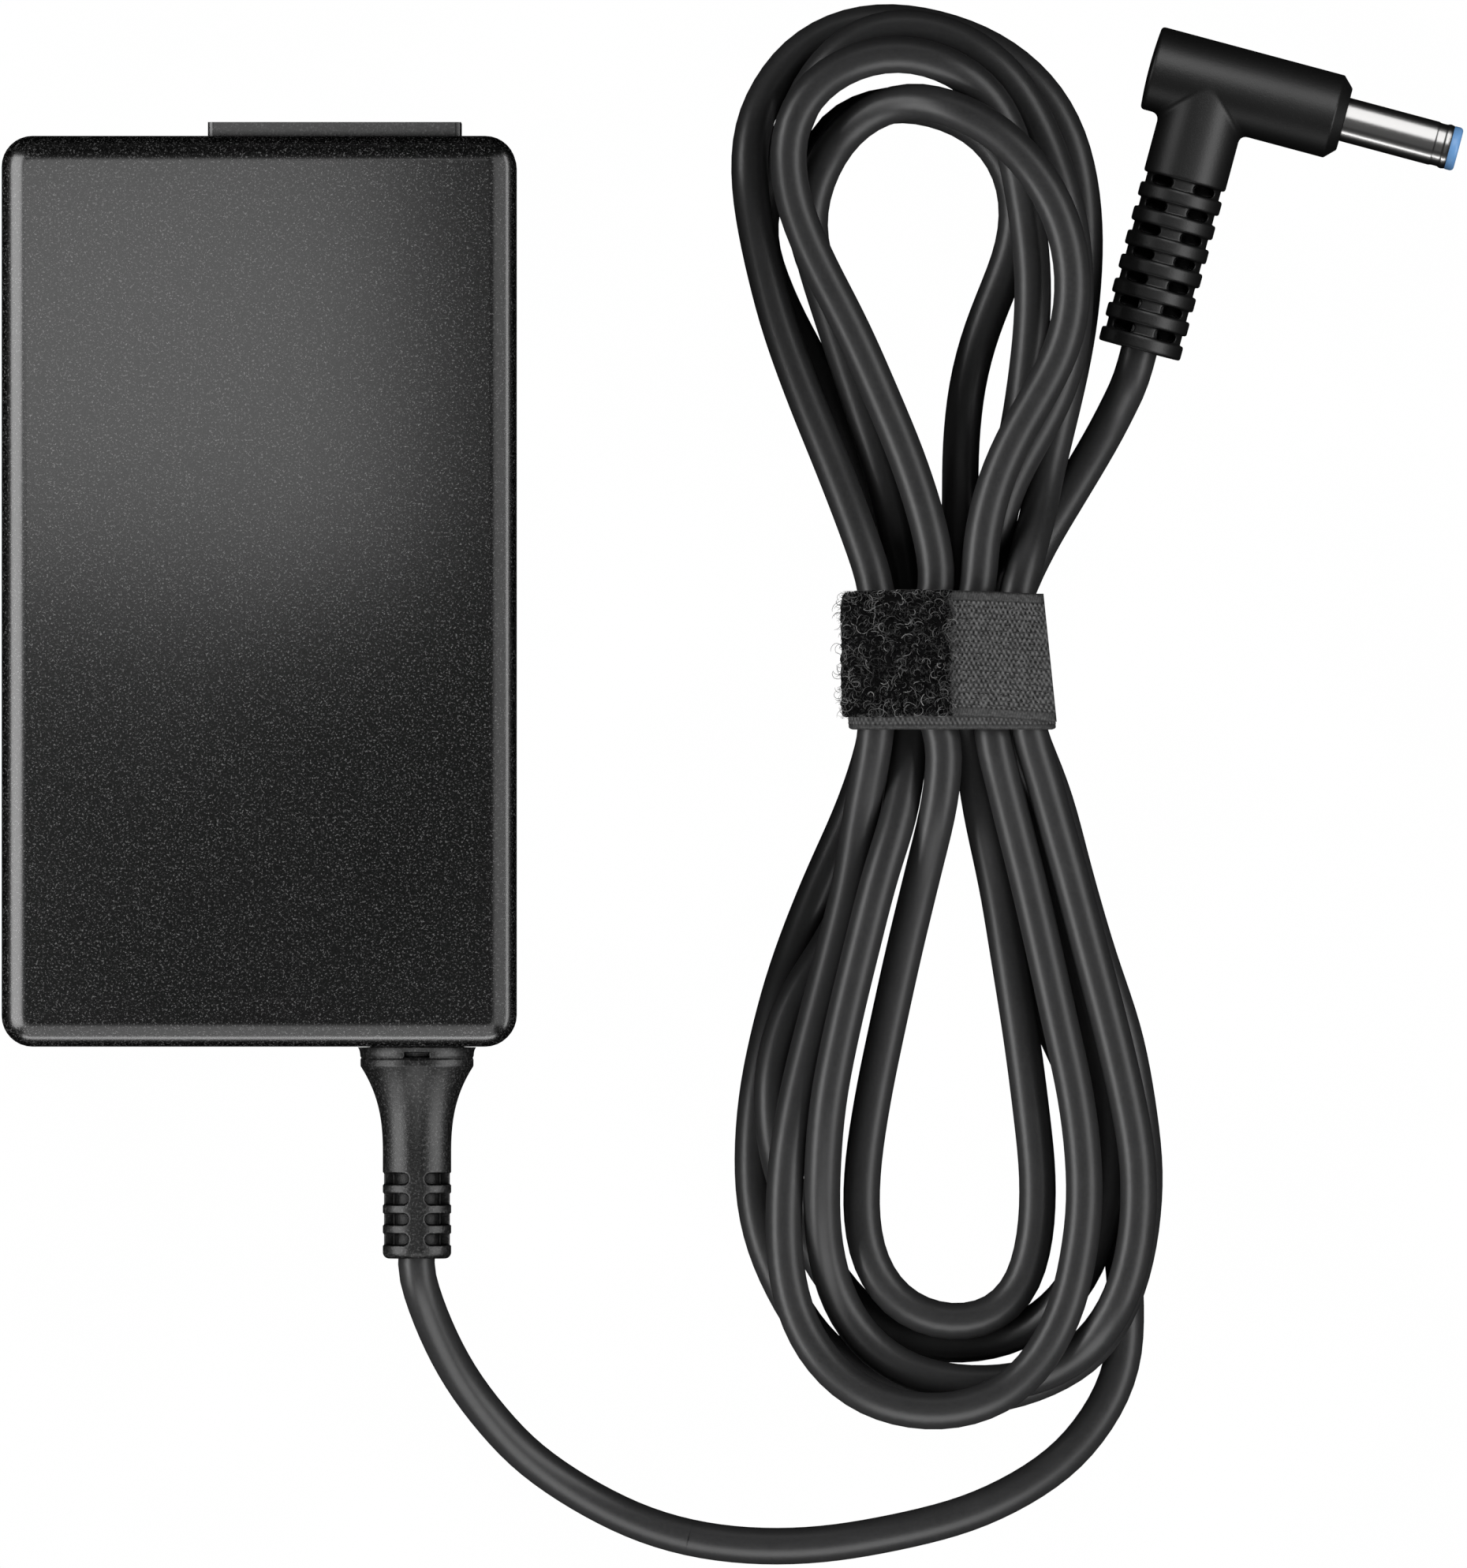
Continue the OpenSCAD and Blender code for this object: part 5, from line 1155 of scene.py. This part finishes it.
# curly fibres of the fleece
parts = []
tones = []
NH = 3400
for i in range(NH):
    kind = rng.random()
    if kind < 0.12:
        side = rng.integers(0, 3)
        if side == 0:
            x, y = PX0 + rng.uniform(0, 0.3), rng.uniform(FY0 + 0.3, FY1 - 0.3)
        else:
            x, y = rng.uniform(PX0 + 0.3, PX1 - 0.3), (FY0 + rng.uniform(0, 0.3)) if side == 1 else (FY1 - rng.uniform(0, 0.3))
    elif kind < 0.20:
        x, y = PX1 + rng.normal(-0.1, 0.28), rng.uniform(FY0 + 0.2, FY1 - 0.2)
    else:
        x, y = rng.uniform(PX0 + 0.2, PX1 - 0.1), rng.uniform(FY0 + 0.2, FY1 - 0.2)
    X_, Y_ = slant(np.array([x]), np.array([y]))
    z = Z0 + 0.98 + 0.16 * math.sin(math.pi * min(max((x - 59) / 21, 0), 1)) + rng.uniform(-0.05, 0.22)
    p = np.array([X_[0], Y_[0], z])
    a = rng.uniform(0, 2 * np.pi)
    long_ = rng.random() < 0.17
    L_ = rng.uniform(0.9, 1.9) if long_ else rng.uniform(0.35, 0.9)
    m_ = 7 if long_ else 5
    curl = rng.uniform(1.2, 4.2) * (1 if rng.random() < 0.5 else -1) * (1.0 if long_ else 0.8)
    el = rng.uniform(0.05, 0.55)
    pts = [p]
    for k in range(m_):
        t = (k + 1) / m_
        d = np.array([math.cos(a), math.sin(a), math.sin(el) * (1.0 - 2.0 * t)])
        pts.append(pts[-1] + d / np.linalg.norm(d) * L_ / m_)
        a += curl / m_ + rng.uniform(-0.2, 0.2)
    pts = np.array(pts)
    pts[:, 0] = np.minimum(pts[:, 0], PX1 + 0.55)
    ylo = slant(pts[:, 0], np.full(len(pts), FY0))[1]; yhi = slant(pts[:, 0], np.full(len(pts), FY1))[1]
    pts[:, 1] = np.clip(pts[:, 1], ylo - 0.05, yhi + 0.05)
    rr = (rng.uniform(0.024, 0.034) if long_ else rng.uniform(0.015, 0.022)) * np.concatenate([np.ones(m_ - 1), [0.85, 0.5]])
    parts.append(tube(pts, rr, 3, True, up=(0.13, 0.21, 0.97)))
    tones.append(rng.uniform(0.3, 0.95) if long_ else rng.uniform(0.0, 0.45))
V, F = merge(parts)
hair = mesh_obj("strap_fleece_fibres", V, F, M["hair"], sharp=80)
shade = np.concatenate([np.full(len(q[0]), t_) for q, t_ in zip(parts, tones)])
store_tone_and_shading(hair, shade)
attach(hair, "flap")

# little hooks standing in rows on the woven end
parts = []
xs_ = np.arange(XJ + 0.45, XR - 0.9, 0.62)
for ix, x in enumerate(xs_):
    for iy, y in enumerate(np.arange(FY0 + 1.2, FY1 - 1.1, 0.58)):
        x1 = x + (0.31 if iy % 2 else 0.0) + rng.uniform(-0.08, 0.08)
        y1 = y + rng.uniform(-0.08, 0.08)
        X_, Y_ = slant(np.array([x1]), np.array([y1]))
        z = Z0 + 0.72 + 0.16 * math.sin(math.pi * min(max((x1 - 59) / 21, 0), 1))
        a = rng.uniform(-0.5, 0.5) + (math.pi if rng.random() < 0.5 else 0)
        dx, dy = math.cos(a), math.sin(a)
        h_ = rng.uniform(0.26, 0.36); w_ = rng.uniform(0.22, 0.34)
        base = np.array([X_[0], Y_[0], z - 0.05])
        pts = [base, base + [0, 0, h_ * 0.7], base + [dx * w_ * 0.22, dy * w_ * 0.22, h_], base + [dx * w_ * 0.75, dy * w_ * 0.75, h_ * 0.98], base + [dx * w_, dy * w_, h_ * 0.62]]
        parts.append(tube(np.array(pts), np.array([0.05, 0.05, 0.05, 0.048, 0.03]), 5, True, up=(0.31, 0.77, 0.13)))
V, F = merge(parts)
hooks = mesh_obj("strap_hooks", V, F, M["strap_hook"] if "strap_hook" in M else M["strap_weave"], sharp=80)
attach(hooks, "flap")

# the fold of fabric that joins the free end to the band, hidden at rest
ys = np.linspace(-12.5, -1.45, 56)
rings = []
for y in ys:
    tb = (sb_hi[1] - y) / W_
    tf = (FY1 - y) / (FY1 - FY0)
    xb = sb_hi[0] - 1.62 + 1.40 * tb
    xf = XR - 0.75 + 1.35 * tf
    key = np.array([(xb - 2.9, 13.92), (xb - 2.0, 13.98), (xb - 1.35, 14.06), (xb - 0.98, 14.20), (xb - 0.90, 14.38),
                    (xf - 1.12, 14.58), (xf - 1.55, 14.70), (xf - 2.2, 14.74), (xf - 3.0, 14.76)])
    s_ = np.linspace(0, len(key) - 1, 25)
    c = np.stack([np.interp(s_, np.arange(len(key)), key[:, k]) for k in (0, 1)], 1)
    for _ in range(3):
        c[1:-1] = (c[:-2] + 2 * c[1:-1] + c[2:]) / 4
    tg = np.gradient(c, axis=0)
    tg /= np.linalg.norm(tg, axis=1)[:, None]
    nn = np.stack([tg[:, 1], -tg[:, 0]], 1)
    h = 0.17 * np.sqrt(np.clip(1 - (2 * np.linspace(0, 1, 25) - 1) ** 8, 0.05, 1))[:, None]
    ring = np.concatenate([c + nn * h, (c - nn * h)[::-1]])
    rings.append(np.stack([ring[:, 0], np.full(50, y), ring[:, 1]], 1))
V = np.concatenate(rings)
F = []
for i in range(len(ys) - 1):
    for k in range(50):
        k2 = (k + 1) % 50
        F.append((i * 50 + k, i * 50 + k2, (i + 1) * 50 + k2, (i + 1) * 50 + k))
for i in (0, len(ys) - 1):
    for k in range(24):
        q = (i * 50 + k, i * 50 + k + 1, i * 50 + 48 - k, i * 50 + 49 - k)
        F.append(q if i else q[::-1])
turn = mesh_obj("strap_turn", V, F, M["strap_weave"])
bm = bmesh.new(); bm.from_mesh(turn.data)
bmesh.ops.recalc_face_normals(bm, faces=bm.faces)
bm.to_mesh(turn.data); bm.free()
store_tone_and_shading(turn, 0.45 + 0.25 * np.sin(V[:, 1] * 14.0) * np.sin(np.arange(len(V)) % 50 * 1.9))
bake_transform(turn)
# --------------------------------------------------------- floor, light, camera
def floor_material():
    """pale board, seen white and evenly lit by the camera"""
    m, nt, p = new_mat("floor")
    n1 = noise(nt, coords(nt, 1.0), 40.0, 2.0, 0.5)
    nt.links.new(ramp(nt, maprange(nt, n1, 0.3, 0.7, 0, 1), [(0.0, (0.055,) * 3), (1.0, (0.065,) * 3)]), p.inputs["Base Color"])
    p.inputs["Roughness"].default_value = 0.9
    p.inputs["Specular IOR Level"].default_value = 0.1
    em = nt.nodes.new("ShaderNodeEmission")
    nt.links.new(ramp(nt, maprange(nt, n1, 0.3, 0.7, 0, 1), [(0.0, (0.995,) * 3), (1.0, (1.0,) * 3)]), em.inputs["Color"])
    em.inputs["Strength"].default_value = 1.0
    lp = nt.nodes.new("ShaderNodeLightPath")
    mx = nt.nodes.new("ShaderNodeMixShader")
    nt.links.new(lp.outputs["Is Camera Ray"], mx.inputs["Fac"])
    nt.links.new(p.outputs[0], mx.inputs[1]); nt.links.new(em.outputs[0], mx.inputs[2])
    out = [q for q in nt.nodes if q.type == "OUTPUT_MATERIAL"][0]
    nt.links.new(mx.outputs[0], out.inputs[0])
    return m


V = [(-1500, -1500, -0.3), (1500, -1500, -0.3), (1500, 1500, -0.3), (-1500, 1500, -0.3)]
floor = mesh_obj("floor", V, [(0, 1, 2, 3)], floor_material())

cam = bpy.data.objects.new("camera", bpy.data.cameras.new("camera"))
bpy.context.scene.collection.objects.link(cam)
bpy.context.scene.camera = cam
SCALE = 12.545
LENS = 1400.0
frame_h = 1988 / SCALE
dist = frame_h * LENS / 36.0
cx, cy = (930 - 329) / 12.58 + 0.0, (750 - 994) / 12.58
cam.data.lens = LENS; cam.data.sensor_width = 36.0
cam.location = (cx * MM, cy * MM, dist * MM)
cam.rotation_euler = (0, 0, 0)
cam.data.clip_start = dist * MM * 0.5; cam.data.clip_end = dist * MM * 2

# groups that share their lights
groups = {}
for key in ("brick_set", "relief_set", "cable_set", "plug_set", "barrel_set"):
    groups[key] = bpy.data.collections.new(key)
for o in bpy.context.scene.objects:
    if o.type != "MESH" or o.name == "floor":
        continue
    n_ = o.name
    if n_ == "barrel_tip":
        g = "plug_set"
    elif n_.startswith("barrel_") or n_ == "centre_pin":
        g = "barrel_set"
    elif n_.startswith("plug_mould"):
        g = "plug_set"
    elif n_ == "strain_relief_mould":
        g = "relief_set"
    elif n_.startswith("cable_") or n_.startswith("strap_"):
        g = "cable_set"
    else:
        g = "brick_set"
    groups[g].objects.link(o)


def area(name, aim, azim, tilt, dist_, w, h, radiance, group, near=None):
    """soft box at an azimuth and a tilt from the vertical, w across and h along the tilt"""
    L = bpy.data.lights.new(name, "AREA")
    L.shape = "RECTANGLE"; L.size = w * MM; L.size_y = h * MM
    L.energy = radiance * math.pi * (w * MM) * (h * MM)
    o = bpy.data.objects.new(name, L)
    bpy.context.scene.collection.objects.link(o)
    a, t = math.radians(azim), math.radians(tilt)
    d = Vector((math.sin(t) * math.cos(a), math.sin(t) * math.sin(a), math.cos(t)))
    loc = Vector(aim) + d * dist_
    o.location = loc * MM
    zax = d
    xax = Vector((-math.sin(a), math.cos(a), 0.0))
    yax = zax.cross(xax)
    R = Matrix((xax, yax, zax)).transposed()
    o.rotation_euler = R.to_euler()
    o.visible_camera = False
    o.light_linking.receiver_collection = groups[group]
    return o


BR, CB, PG = (0, 0, 15), (75, -15, 6), (100, 45, 4)
area("brick_left", BR, 180, 57, 700, 1000, 640, 7.7, "brick_set")
area("brick_right", BR, 0, 48, 700, 900, 640, 1.8, "brick_set")
area("brick_right_low", BR, 0, 88, 700, 900, 180, 8.5, "brick_set")
area("brick_front", BR, -90, 52, 700, 700, 560, 2.2, "brick_set")
area("brick_front_low", BR, -90, 89, 700, 700, 190, 10.5, "brick_set")
area("brick_over", (-30, 48, 28), 90, 0, 145, 110, 84, 2.8, "brick_set")
area("brick_back", BR, 90, 84, 700, 500, 160, 0.1, "brick_set")

RS = (OX, -57, OZ)
area("relief_left", RS, 180, 64, 700, 500, 640, 4.3, "relief_set")
area("relief_right", RS, 0, 64, 700, 500, 640, 3.2, "relief_set")
area("relief_over", RS, -90, 12, 700, 260, 260, 1.8, "relief_set")
area("relief_front", RS, -90, 52, 700, 400, 600, 2.0, "relief_set")
area("relief_fl", RS, -142, 66, 700, 420, 520, 2.6, "relief_set")
area("relief_fr", RS, -38, 66, 700, 420, 520, 2.3, "relief_set")

area("cable_left", CB, 180, 60, 700, 900, 240, 6.2, "cable_set")
area("cable_right", CB, 0, 50, 700, 900, 330, 3.4, "cable_set")
area("cable_far", CB, 90, 60, 700, 500, 200, 0.7, "cable_set")
area("cable_near", CB, -90, 54, 700, 600, 460, 3.1, "cable_set")

area("plug_far", PG, 75, 35, 600, 420, 380, 4.2, "plug_set")
area("plug_near", PG, -105, 68, 600, 420, 200, 1.7, "plug_set")
area("plug_right", PG, -15, 50, 600, 420, 340, 5.2, "plug_set")
area("plug_left", PG, 165, 62, 600, 420, 260, 2.7, "plug_set")

area("barrel_far", PG, 75, 45, 600, 600, 720, 1.15, "barrel_set")
area("barrel_near", PG, -105, 74, 600, 600, 90, 2.6, "barrel_set")
area("barrel_fill", PG, 75, 0, 600, 600, 900, 0.06, "barrel_set")
area("barrel_rim", PG, 75, 84, 600, 600, 120, 0.10, "barrel_set")

world = bpy.data.worlds.new("world")
bpy.context.scene.world = world
world.use_nodes = True
wt = world.node_tree
bg = wt.nodes["Background"]
bg.inputs[0].default_value = (1, 1, 1, 1)
bg.inputs[1].default_value = 0.02
bg2 = wt.nodes.new("ShaderNodeBackground")
bg2.inputs[0].default_value = (1, 1, 1, 1); bg2.inputs[1].default_value = 1.0
lp_ = wt.nodes.new("ShaderNodeLightPath")
mx_ = wt.nodes.new("ShaderNodeMixShader")
wt.links.new(lp_.outputs["Is Camera Ray"], mx_.inputs["Fac"])
wt.links.new(bg.outputs[0], mx_.inputs[1]); wt.links.new(bg2.outputs[0], mx_.inputs[2])
wt.links.new(mx_.outputs[0], [q for q in wt.nodes if q.type == "OUTPUT_WORLD"][0].inputs[0])
bpy.context.scene.view_settings.view_transform = "Standard"
bpy.context.scene.view_settings.look = "None"
